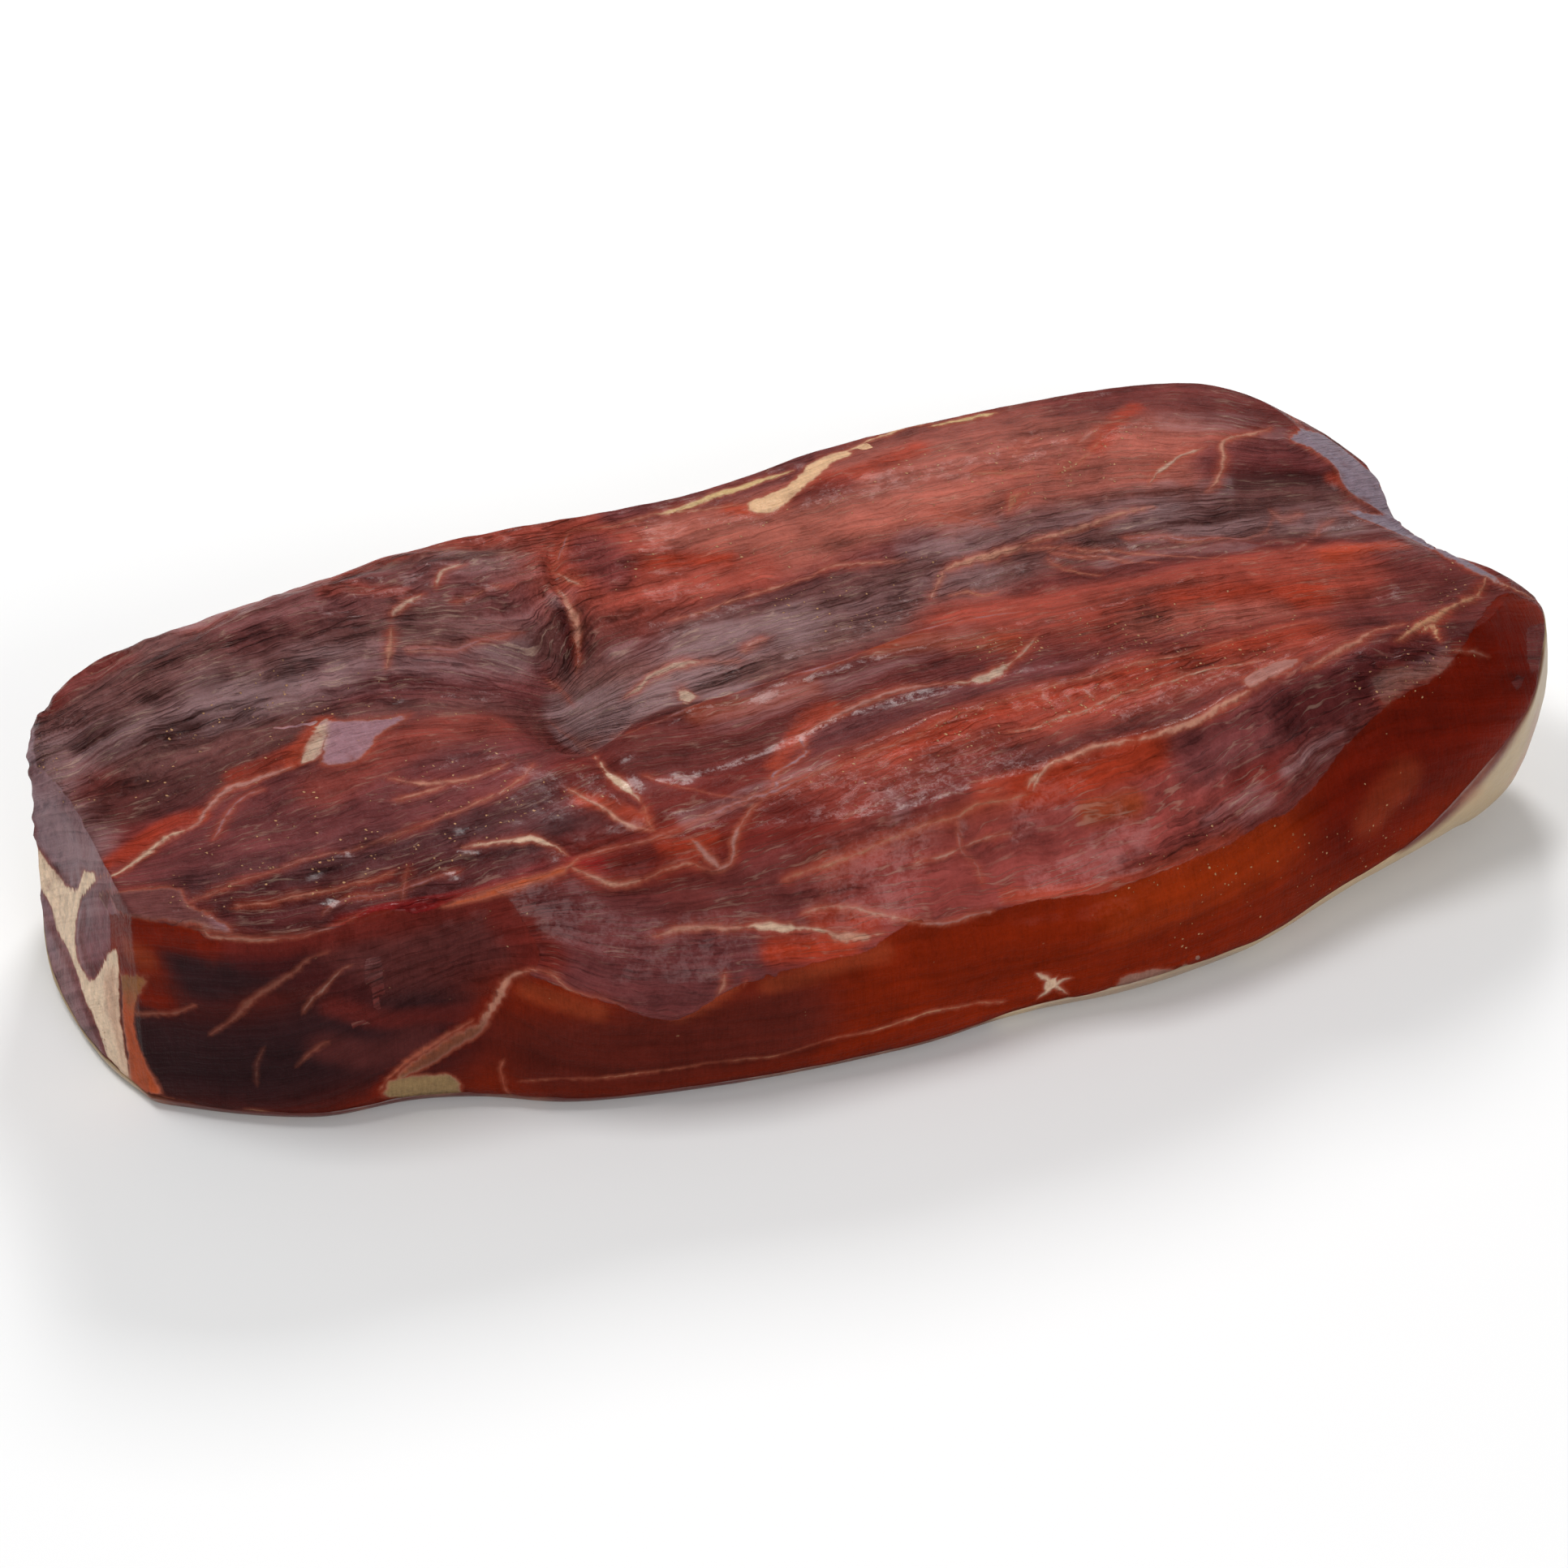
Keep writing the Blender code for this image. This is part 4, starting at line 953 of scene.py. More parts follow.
@dataclass
class SeamField:
    """Where the fat seams run, as sides and half widths that stay sharp between points.

    A seam's side is its distance in millimetres, negative on one side, so that it passes
    through zero on the seam however far apart the points are. Seams that come near each
    other are kept in different channels. Lengths are in millimetres: near is how far a seam
    reaches, clear is the side of a point that no seam reaches, wide is the half width of an
    island, blend is how fast one seam's colour gives way to the next, and a seam fades beyond
    full_reach from its line. Its tips are tip_width of its width at the middle.
    """

    PARTS: ClassVar[tuple[str, ...]] = ("a", "b", "c")

    photo: PhotoMap
    places: np.ndarray
    channels: int = 9
    near: float = 7.0
    clear: float = 9.0
    wide: float = 60.0
    blend: float = 0.8
    full_reach: float = 4.0
    tip_width: float = 0.25
    sides: np.ndarray = field(init=False)
    halves: np.ndarray = field(init=False)
    paint: np.ndarray = field(init=False)
    solid: np.ndarray = field(init=False)

    def lay(self, marks: tuple[Seam | Island, ...]) -> None:
        """Puts every seam and island into a channel and mixes their colours between them."""
        count = len(self.places)
        self.sides = np.full((count, self.channels), self.clear)
        self.halves = np.full((count, self.channels), -self.clear)
        colour = np.full((count, 3), 1e-6) * np.array(Tone.PEACH.value)
        weight = np.full(count, 1e-6)
        solid = np.full(count, 1e-6)
        laid: list[list[np.ndarray]] = [[] for _ in range(self.channels)]
        for mark in marks:
            whole = isinstance(mark, Island)
            trace = self.photo.trace(mark.path, whole)
            channel = self._free_channel(trace.points, laid)
            laid[channel].append(trace.points)
            room = self.near if whole else self.near + mark.width / 2
            low, high = trace.points.min(0) - room, trace.points.max(0) + room
            inside = np.flatnonzero(np.all((self.places > low) & (self.places < high), axis=1))
            if whole:
                side, half = self._within(trace, self.places[inside])
            else:
                side, half = self._across(trace, mark.width / 2, self.places[inside])
            gap = np.abs(side) - half
            old = np.abs(self.sides[inside, channel]) - self.halves[inside, channel]
            nearer = gap < old
            self.sides[inside[nearer], channel] = side[nearer]
            self.halves[inside[nearer], channel] = half[nearer]
            pull = np.exp(-np.clip(gap, -2.0, 30.0) / self.blend)
            colour[inside] += pull[:, None] * np.array(mark.tone.value)
            weight[inside] += pull
            solid[inside] += pull * mark.solid
        self.paint = colour / weight[:, None]
        self.solid = solid / weight

    def _within(self, trace: Trace, places: np.ndarray) -> tuple[np.ndarray, np.ndarray]:
        """Side and half width that stay sharp along the edge of an island.

        Args:
            trace: The island's edge, gone round clockwise or the other way.
            places: Points in millimetres.

        Returns:
            The distance outside the edge plus a wide half width, and that half width.
        """
        wide = np.full(len(places), self.wide)
        return beyond_edge(trace, places) + wide, wide

    def _free_channel(self, points: np.ndarray, laid: list[list[np.ndarray]]) -> int:
        """The channel whose seams keep furthest from a new one."""
        room = []
        for others in laid:
            far = [np.linalg.norm(points[::3, None] - o[None, ::3], axis=2).min() for o in others]
            room.append(min(far, default=1000.0))
        return int(np.argmax(np.minimum(room, 2 * self.near)))

    def _across(
        self, trace: Trace, half: float, places: np.ndarray
    ) -> tuple[np.ndarray, np.ndarray]:
        """Side and half width of one seam at places near it.

        Args:
            trace: The seam's line.
            half: Its half width at the middle, in millimetres.
            places: Points in millimetres.

        Returns:
            The signed side, and the half width, which is below zero away from the seam.
        """
        index, far = nearest_on(trace, places)
        offset = places - trace.points[index]
        side = np.einsum("ij,ij->i", offset, trace.outward()[index])
        share = index / (len(trace.points) - 1)
        middle = np.sqrt(np.clip(4 * share * (1 - share), 0.0, 1.0))
        taper = middle * (1 - self.tip_width) + self.tip_width
        along = np.abs(np.einsum("ij,ij->i", offset, trace.ahead()[index]))
        lifted = np.sqrt(np.clip(far**2 - side**2 - along**2, 0.0, None))
        loss = np.clip(far - self.full_reach, 0.0, None) * 2 + along + lifted
        return side, half * taper - loss


class Flow:
    """A number that varies over a surface, so that shader maths reads as an expression."""

    def __init__(self, bench: "Bench", socket: bpy.types.NodeSocket) -> None:
        """Keeps the socket that the number comes from, and the material it belongs to."""
        self.bench = bench
        self.socket = socket

    def _math(self, operation: str, *values: "Flow | float") -> "Flow":
        """Adds one Math node and gives its result."""
        inputs = {i: value for i, value in enumerate(values)}
        return self.bench.flow("ShaderNodeMath", {"operation": operation}, inputs)

    def __add__(self, other: "Flow | float") -> "Flow":
        """Sum."""
        return self._math("ADD", self, other)

    __radd__ = __add__

    def __sub__(self, other: "Flow | float") -> "Flow":
        """Difference."""
        return self._math("SUBTRACT", self, other)

    def __rsub__(self, other: float) -> "Flow":
        """Difference from a plain number."""
        return self._math("SUBTRACT", other, self)

    def __mul__(self, other: "Flow | float") -> "Flow":
        """Product."""
        return self._math("MULTIPLY", self, other)

    __rmul__ = __mul__

    def __truediv__(self, other: "Flow | float") -> "Flow":
        """Quotient."""
        return self._math("DIVIDE", self, other)

    def __abs__(self) -> "Flow":
        """Size without sign."""
        return self._math("ABSOLUTE", self)

    def least(self, other: "Flow | float") -> "Flow":
        """The smaller of two."""
        return self._math("MINIMUM", self, other)

    def most(self, other: "Flow | float") -> "Flow":
        """The larger of two."""
        return self._math("MAXIMUM", self, other)

    def step(self, low: float, high: float) -> "Flow":
        """0 at low and 1 at high, smooth between them, with low above high for a fall."""
        settings = {"interpolation_type": "SMOOTHSTEP"}
        if low < high:
            return self.bench.flow("ShaderNodeMapRange", settings, {0: self, 1: low, 2: high})
        return 1 - self.bench.flow("ShaderNodeMapRange", settings, {0: self, 1: high, 2: low})


@dataclass
class Bench:
    """A material being put together node by node."""

    name: str
    material: bpy.types.Material = field(init=False)
    shader: bpy.types.Node = field(init=False)

    def __post_init__(self) -> None:
        """Starts the material with its shader."""
        self.material = bpy.data.materials.new(self.name)
        self.material.use_nodes = True
        self.shader = self.material.node_tree.nodes["Principled BSDF"]

    def node(self, kind: str, settings: dict, inputs: dict) -> bpy.types.Node:
        """Adds a node.

        Args:
            kind: The node's type.
            settings: Its own settings, set before its sockets.
            inputs: Values or links of its sockets, by name or index.

        Returns:
            The node.
        """
        made = self.material.node_tree.nodes.new(kind)
        for key, value in settings.items():
            setattr(made, key, value)
        for key, value in inputs.items():
            self.feed(made.inputs[key], value)
        return made

    def feed(self, socket: bpy.types.NodeSocket, value: object) -> None:
        """Links a socket to a flow or another socket, or sets its value."""
        source = value.socket if isinstance(value, Flow) else value
        if isinstance(source, bpy.types.NodeSocket):
            self.material.node_tree.links.new(source, socket)
        else:
            socket.default_value = source

    def flow(self, kind: str, settings: dict, inputs: dict, output: object = 0) -> Flow:
        """Adds a node and gives one of its results as a flow."""
        return Flow(self, self.node(kind, settings, inputs).outputs[output])

    def attribute(self, name: str, output: str = "Fac") -> Flow:
        """Reads what was painted on the mesh under a name."""
        return self.flow("ShaderNodeAttribute", {"attribute_name": name}, {}, output)

    def split(self, vector: Flow) -> tuple[Flow, Flow, Flow]:
        """The three parts of a vector."""
        made = self.node("ShaderNodeSeparateXYZ", {}, {0: vector})
        return tuple(Flow(self, made.outputs[i]) for i in range(3))

    def joined(self, x: "Flow | float", y: "Flow | float", z: "Flow | float") -> Flow:
        """A vector from three numbers."""
        return self.flow("ShaderNodeCombineXYZ", {}, {0: x, 1: y, 2: z})

    def noise(self, place: Flow, detail: float = 2.0, rough: float = 0.5, scale: float = 1.0) -> Flow:
        """Cloudy noise about 0.5, with features about one unit of place wide."""
        inputs = {"Vector": place, "Scale": scale, "Detail": detail, "Roughness": rough}
        return self.flow("ShaderNodeTexNoise", {}, inputs, "Fac")

    def millimetres(self) -> Flow:
        """The place on the object, in millimetres."""
        place = self.flow("ShaderNodeTexCoord", {}, {}, "Object")
        return self.scaled(place, 1 / MM)

    def scaled(self, vector: Flow, by: "Flow | float") -> Flow:
        """A vector or colour times a number."""
        return self.flow("ShaderNodeVectorMath", {"operation": "SCALE"}, {0: vector, "Scale": by})

    def mix(self, share: "Flow | float", a: object, b: object) -> Flow:
        """A colour between a, at share 0, and b, at share 1."""
        first = (*a.value, 1.0) if isinstance(a, Tone) else a
        second = (*b.value, 1.0) if isinstance(b, Tone) else b
        made = self.node("ShaderNodeMix", {"data_type": "RGBA"}, {0: share, 6: first, 7: second})
        return Flow(self, made.outputs[2])

    def bump(self, height: Flow, strength: float, distance: float) -> Flow:
        """A normal bent by a height."""
        inputs = {"Strength": strength, "Distance": distance, "Height": height}
        return self.flow("ShaderNodeBump", {}, inputs, "Normal")

    def finish(self, piece: bpy.types.Object, **inputs: object) -> None:
        """Feeds the shader's sockets and puts the material on a piece."""
        for name, value in inputs.items():
            self.feed(self.shader.inputs[name.replace("_", " ")], value)
        piece.data.materials.clear()
        piece.data.materials.append(self.material)


@dataclass(frozen=True)
class LeanFinish:
    """Moist cured meat: fibres, membrane with painted sheen, flecks, and the fat seams between the muscles.

    Sizes are in millimetres: of a feature all round, or along the fibres and across them. A
    share is how much of its tone a layer lays over the colour below. The bump's depth is in
    metres.
    """

    film_and_sheen_tone: Tone = Tone.VEIL_AND_SHEEN
    fleck_tone: Tone = Tone.GOLD
    halo_tone: Tone = Tone.GLAZE
    margin_tone: Tone = Tone.CORAL
    edge_tone: Tone = Tone.PINK_FAT
    sinew_tone: Tone = Tone.IVORY
    mottle_size: float = 14.0
    cloud_size: float = 12.0
    knot_size: float = 4.2
    rag_size: float = 3.0
    fine_size: float = 1.0
    fibre_size: tuple[float, float] = (16.0, 1.0)
    strand_size: tuple[float, float] = (42.0, 4.0)
    broad_size: tuple[float, float] = (60.0, 9.0)
    vein_size: tuple[float, float] = (26.0, 2.4)
    fold_size: tuple[float, float] = (20.0, 3.4)
    trim_size: tuple[float, float] = (0.9, 9.0)
    slice_size: tuple[float, float, float] = (2.0, 2.4, 8.0)
    seam_wave_size: float = 9.0
    seam_rag_size: float = 2.6
    fleck_gap: float = 1.3
    fleck_stir_size: float = 0.7
    fleck_patch_size: float = 6.0
    least_shade: float = 0.25
    film_and_sheen_share: float = 0.66
    sinew_share: float = 0.20
    halo_share: float = 0.32
    margin_share: float = 0.45
    bump_strength: float = 0.9
    bump_depth: float = 0.0015

    def dress(self, piece: bpy.types.Object) -> None:
        """Makes the material and puts it on the lean."""
        bench = Bench("lean_meat_finish")
        place = bench.millimetres()
        along, depth, height = bench.split(place)
        order, crag, bare = bench.split(bench.attribute("weave", "Vector"))
        # The first cover is pale membrane, partly painted sheen and glints
        film_and_sheen, fleck, wet = bench.split(bench.attribute("cover", "Vector"))

        # Where the trimmed wall and the slice face begin
        ragged = bench.noise(bench.scaled(place, 1 / self.rag_size), 3.0, 0.6)
        bare = (bare + (ragged - 0.5) * 2.0).step(-0.35, 0.35)
        cut = (bench.attribute("cut") + (ragged - 0.5) * 0.3).step(-0.15, 0.15)

        # Patterns all round, along the fibres, and down the cut sides
        cloud = bench.noise(bench.scaled(place, 1 / self.cloud_size), 3.0)
        mottle = bench.noise(bench.scaled(place, 1 / self.mottle_size), 4.0, 0.52)
        knots = bench.noise(bench.scaled(place, 1 / self.knot_size), 3.0, 0.55)
        fine = bench.noise(bench.scaled(place, 1 / self.fine_size), 4.0, 0.7)
        order = order + (cloud - 0.5) * 3.5 + (mottle - 0.5) * 1.5
        fibre = self._drawn_out(bench, along, order, self.fibre_size, 0.0, 4.0, 0.55)
        strand = self._drawn_out(bench, along, order, self.strand_size, 3.0, 3.0, 0.5)
        broad = self._drawn_out(bench, along, order, self.broad_size, 5.0, 2.0, 0.5)
        wide, tall = self.trim_size
        upright = bench.noise(bench.joined(along / wide, 0.0, height / tall), 4.0, 0.66)
        long, deep, tall = self.slice_size
        sliced = bench.noise(bench.joined(along / long, depth / deep, height / tall), 4.0, 0.65)
        vein = self._drawn_out(bench, along, order, self.vein_size, 7.0, 2.0, 0.5)
        fold = self._drawn_out(bench, along, order, self.fold_size, 11.0, 2.0, 0.5)
        skin = (1 - bare) * (1 - cut)
        sinew = abs(vein - 0.5).step(0.030, 0.0) * mottle.step(0.42, 0.60) * skin
        shaded_crack = abs(fold - 0.5).step(0.055, 0.0) * mottle.step(0.60, 0.42) * skin
        fibre = fibre + bare * (upright - fibre)
        fibre = fibre + cut * (sliced - fibre)

        # The flesh, lighter and darker along its fibres
        streaks = (strand - 0.5) * (1.1 + crag * 0.4) + (fibre - 0.5) * 0.9 + (broad - 0.5) * 1.2
        streaks = streaks * (1 - bare * 0.45)
        grit = (fine - 0.5) * 0.4 + (knots - 0.5) * (0.4 + crag * 0.5)
        # The cracks' colour is darkened as painted shade; the bump sinks them too
        grit = grit - shaded_crack * (0.10 + crag * 0.15)
        shade = 0.99 + (mottle - 0.5) * (1.0 - bare * 0.3) + streaks + grit
        flesh = bench.mix(cut, bench.attribute("flesh", "Color"), bench.attribute("cut_flesh", "Color"))
        flesh = bench.mix(bare, flesh, bench.attribute("wall_flesh", "Color"))
        colour = bench.scaled(flesh, shade.most(self.least_shade))

        # The pale membrane, partly painted sheen and glints, and the sinews over it
        threads = (strand - 0.5) * 1.8 + (broad - 0.5) * 1.6 + (fibre - 0.5) * 1.2 + (mottle - 0.5) * 0.8
        veil_and_sheen = (film_and_sheen * 0.95 + threads * (0.22 + film_and_sheen * 0.8)).step(0.16, 1.05) * (1 - bare * 0.9)
        colour = bench.mix(veil_and_sheen * self.film_and_sheen_share * (1 - shaded_crack * 0.4), colour, self.film_and_sheen_tone)
        colour = bench.mix(sinew * (self.sinew_share + film_and_sheen * 0.35), colour, self.sinew_tone)

        # The fat seams, with a glow in the meat beside them
        gap = self._seam_gap(bench, fine, place)
        solid = bench.attribute("seam_paint", "Alpha")
        worn = (0.72 + (mottle - 0.5) * 1.1 + (knots - 0.5) * 0.9).step(0.05, 0.65) * solid
        glow = gap.step(4.0, 0.0) * mottle.step(0.30, 0.65) * (1 - cut) * (1 - bare)
        colour = bench.mix(glow * self.halo_share, colour, self.halo_tone)
        rim = gap.step(1.6, -0.4) * worn
        colour = bench.mix(rim * self.margin_share, colour, self.margin_tone)
        body = gap.step(0.4, -0.7) * worn
        paint = bench.attribute("seam_paint", "Color")
        fat = bench.scaled(paint, 1.0 + (fine - 0.5) * 0.7 + (fibre - 0.5) * 0.8 + (knots - 0.5) * 0.6)
        fat = bench.mix(gap.step(-1.4, 0.1) * 0.35 * (1 - cut * 0.5), fat, self.edge_tone)
        colour = bench.mix(body, colour, fat)

        # Flecks, relief and gloss
        dots = self._flecks(bench, place, fleck)
        colour = bench.mix(dots, colour, self.fleck_tone)
        relief = fibre * 0.35 + fine * 0.16 + mottle * 0.8 + strand * (0.9 + crag * 1.4)
        relief = relief + knots * (0.7 + crag * 0.8 - bare * 0.4) + body * 0.25 + dots * 0.4
        relief = relief + sinew * 0.2 - shaded_crack * (0.2 + crag * 0.4)
        rough = 0.34 + veil_and_sheen * 0.14 - wet * 0.12 + (fine - 0.5) * 0.3 + body * 0.08
        gloss = (fine * 0.6 + knots * 0.6 + strand * 0.3 + wet * 0.10).step(0.70, 0.92)
        bench.finish(
            piece,
            Base_Color=colour,
            Roughness=rough,
            Normal=bench.bump(relief, self.bump_strength, self.bump_depth),
            Coat_Weight=gloss * (0.06 + wet * 0.20) * (1 - bare * 0.8),
            Coat_Roughness=0.13,
            IOR=1.40,
            Specular_IOR_Level=0.03,
            Subsurface_Weight=0.05,
            Subsurface_Radius=(1.0, 0.25, 0.12),
            Subsurface_Scale=0.003,
        )

    def _drawn_out(
        self, bench: Bench, along: Flow, order: Flow, size: tuple[float, float], layer: float,
        detail: float, rough: float
    ) -> Flow:
        """Noise that is drawn out along the fibres.

        Args:
            bench: The material.
            along: Millimetres along the ham.
            order: Millimetres across the fibres.
            size: How long and how wide its features are.
            layer: Picks the pattern.
            detail: How many finer patterns are laid over it.
            rough: How strong the finer ones are.

        Returns:
            Noise about 0.5.
        """
        return bench.noise(bench.joined(along / size[0], order / size[1], layer), detail, rough)

    def _seam_gap(self, bench: Bench, fine: Flow, place: Flow) -> Flow:
        """How far a point is from the nearest seam's edge, in millimetres."""
        wave = bench.noise(bench.scaled(place, 1 / self.seam_wave_size), 3.0, 0.55)
        ragged = bench.noise(bench.scaled(place, 1 / self.seam_rag_size), 3.0, 0.6)
        wobble = (wave - 0.5) * 2.6 + (ragged - 0.5) * 0.9
        gap = None
        for part in SeamField.PARTS:
            sides = bench.split(bench.attribute("seam_side_" + part, "Vector"))
            halves = bench.split(bench.attribute("seam_half_" + part, "Vector"))
            for side, half in zip(sides, halves):
                one = abs(side + wobble) - half
                gap = one if gap is None else gap.least(one)
        return gap + (ragged - 0.5) * 1.0 + (fine - 0.5) * 0.4

    def _flecks(self, bench: Bench, place: Flow, amount: Flow) -> Flow:
        """Small pale specks of salt and dried fat, gathered in patches."""
        stir = bench.noise(bench.scaled(place, 1 / self.fleck_stir_size), 2.0) * 0.9
        x, y, z = bench.split(bench.scaled(place, 1 / self.fleck_gap))
        inputs = {"Vector": bench.joined(x + stir, y - stir, z + stir * 0.5), "Scale": 1.0}
        cell = bench.node("ShaderNodeTexVoronoi", {}, inputs)
        luck, size, _ = bench.split(Flow(bench, cell.outputs["Color"]))
        edge = 0.10 + size * 0.26
        near = (edge - Flow(bench, cell.outputs["Distance"])).step(0.0, 0.12)
        patchy = bench.noise(bench.scaled(place, 1 / self.fleck_patch_size), 3.0)
        patchy = patchy.step(0.40, 0.62)
        chance = (luck - 1 + (amount * 0.70 + 0.012) * (0.25 + patchy)).step(0.0, 0.03)
        return near * chance * 0.95


@dataclass(frozen=True)
class FatFinish:
    """Cured fat: cream to tan, greasy, with browner stains where it has dried.

    Sizes are in millimetres, and the bump's depth is in metres.
    """

    stain_tone: Tone = Tone.OCHRE
    stain_share: float = 0.55
    cloud_size: float = 22.0
    pore_size: float = 4.5
    fine_size: float = 1.6
    bump_strength: float = 0.5
    bump_depth: float = 0.0008

    def dress(self, piece: bpy.types.Object) -> None:
        """Makes the material and puts it on the fat cap."""
        bench = Bench("fat_cap_finish")
        place = bench.millimetres()
        cloud = bench.noise(bench.scaled(place, 1 / self.cloud_size), 5.0, 0.6)
        fine = bench.noise(bench.scaled(place, 1 / self.fine_size), 4.0, 0.6)
        pores = bench.noise(bench.scaled(place, 1 / self.pore_size), 2.0)
        ground = bench.attribute("flesh", "Color")
        colour = bench.scaled(ground, 0.62 + cloud * 0.5 + fine * 0.25)
        stained = cloud.step(0.50, 0.75) * self.stain_share
        colour = bench.mix(stained, colour, self.stain_tone)
        relief = cloud * 2.0 + pores * 0.7 + fine * 0.3
        bench.finish(
            piece,
            Base_Color=colour,
            Roughness=0.42 + (fine - 0.5) * 0.2,
            Normal=bench.bump(relief, self.bump_strength, self.bump_depth),
            Coat_Weight=0.08,
            Coat_Roughness=0.3,
            IOR=1.45,
            Subsurface_Weight=0.12,
            Subsurface_Radius=(1.0, 0.6, 0.35),
            Subsurface_Scale=0.005,
        )


@dataclass(kw_only=True)
class MeatPiece:
    """A piece of the ham: its solid, made fine and uneven, with what covers it painted on."""

    node: str
    name: str
    photo: PhotoMap
    levels: int = 2
    crease_angle: float = 30.0
    crease: float = 0.85
    piece: bpy.types.Object = field(init=False)

    def shape(self) -> None:
        """Copies the solid as quads and subdivides it, with its cut edges kept crisp."""
        bm = bmesh.new()
        bm.from_mesh(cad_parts[self.node].data)
        bmesh.ops.remove_doubles(bm, verts=bm.verts, dist=1e-6)
        bmesh.ops.join_triangles(
            bm, faces=bm.faces, angle_face_threshold=0.6, angle_shape_threshold=1.2
        )
        layer = bm.edges.layers.float.new("crease_edge")
        for edge in bm.edges:
            if edge.is_manifold and edge.calc_face_angle() > np.radians(self.crease_angle):
                edge[layer] = self.crease
        coarse = bpy.data.meshes.new(self.name)
        bm.to_mesh(coarse)
        bm.free()
        holder = bpy.data.objects.new(self.name + "_coarse", coarse)
        bpy.context.scene.collection.objects.link(holder)
        finer = holder.modifiers.new("finer", "SUBSURF")
        finer.levels = self.levels
        finer.render_levels = self.levels
        graph = bpy.context.evaluated_depsgraph_get()
        mesh = bpy.data.meshes.new_from_object(holder.evaluated_get(graph))
        bpy.data.objects.remove(holder)
        mesh.name = self.name
        mesh.shade_smooth()
        self.piece = bpy.data.objects.new(self.name, mesh)
        bpy.context.scene.collection.objects.link(self.piece)

    def places(self) -> np.ndarray:
        """The mesh's points in millimetres."""
        mesh = self.piece.data
        flat = np.empty(len(mesh.vertices) * 3, np.float32)
        mesh.vertices.foreach_get("co", flat)
        return flat.reshape(-1, 3).astype(float) / MM

    def normals(self) -> np.ndarray:
        """The mesh's direction at each point."""
        mesh = self.piece.data
        flat = np.empty(len(mesh.vertices) * 3, np.float32)
        mesh.vertex_normals.foreach_get("vector", flat)
        return flat.reshape(-1, 3).astype(float)

    def push(self, by: np.ndarray) -> None:
        """Moves each point out by a distance in millimetres."""
        moved = (self.places() + self.normals() * by[:, None]) * MM
        self.piece.data.vertices.foreach_set("co", moved.astype(np.float32).ravel())
        self.piece.data.update()

    def store(self, name: str, kind: str, values: np.ndarray) -> None:
        """Writes values on the mesh's points for the material to read.

        Args:
            name: The name that the material reads.
            kind: FLOAT, FLOAT_VECTOR or FLOAT_COLOR.
            values: One or three numbers for each point, or four for a colour with its cover.
        """
        layer = self.piece.data.attributes.new(name, kind, "POINT")
        if kind == "FLOAT_COLOR" and values.shape[1] == 3:
            values = np.column_stack([values, np.ones(len(values))])
        key = {"FLOAT": "value", "FLOAT_VECTOR": "vector", "FLOAT_COLOR": "color"}[kind]
        layer.data.foreach_set(key, values.astype(np.float32).ravel())

    def join(self, slot: str) -> None:
        """Puts the piece in the frame, in place of its solid."""
        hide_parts(self.node)
        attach(self.piece, "root")
        log.info("%s: %d points", self.name, len(self.piece.data.vertices))


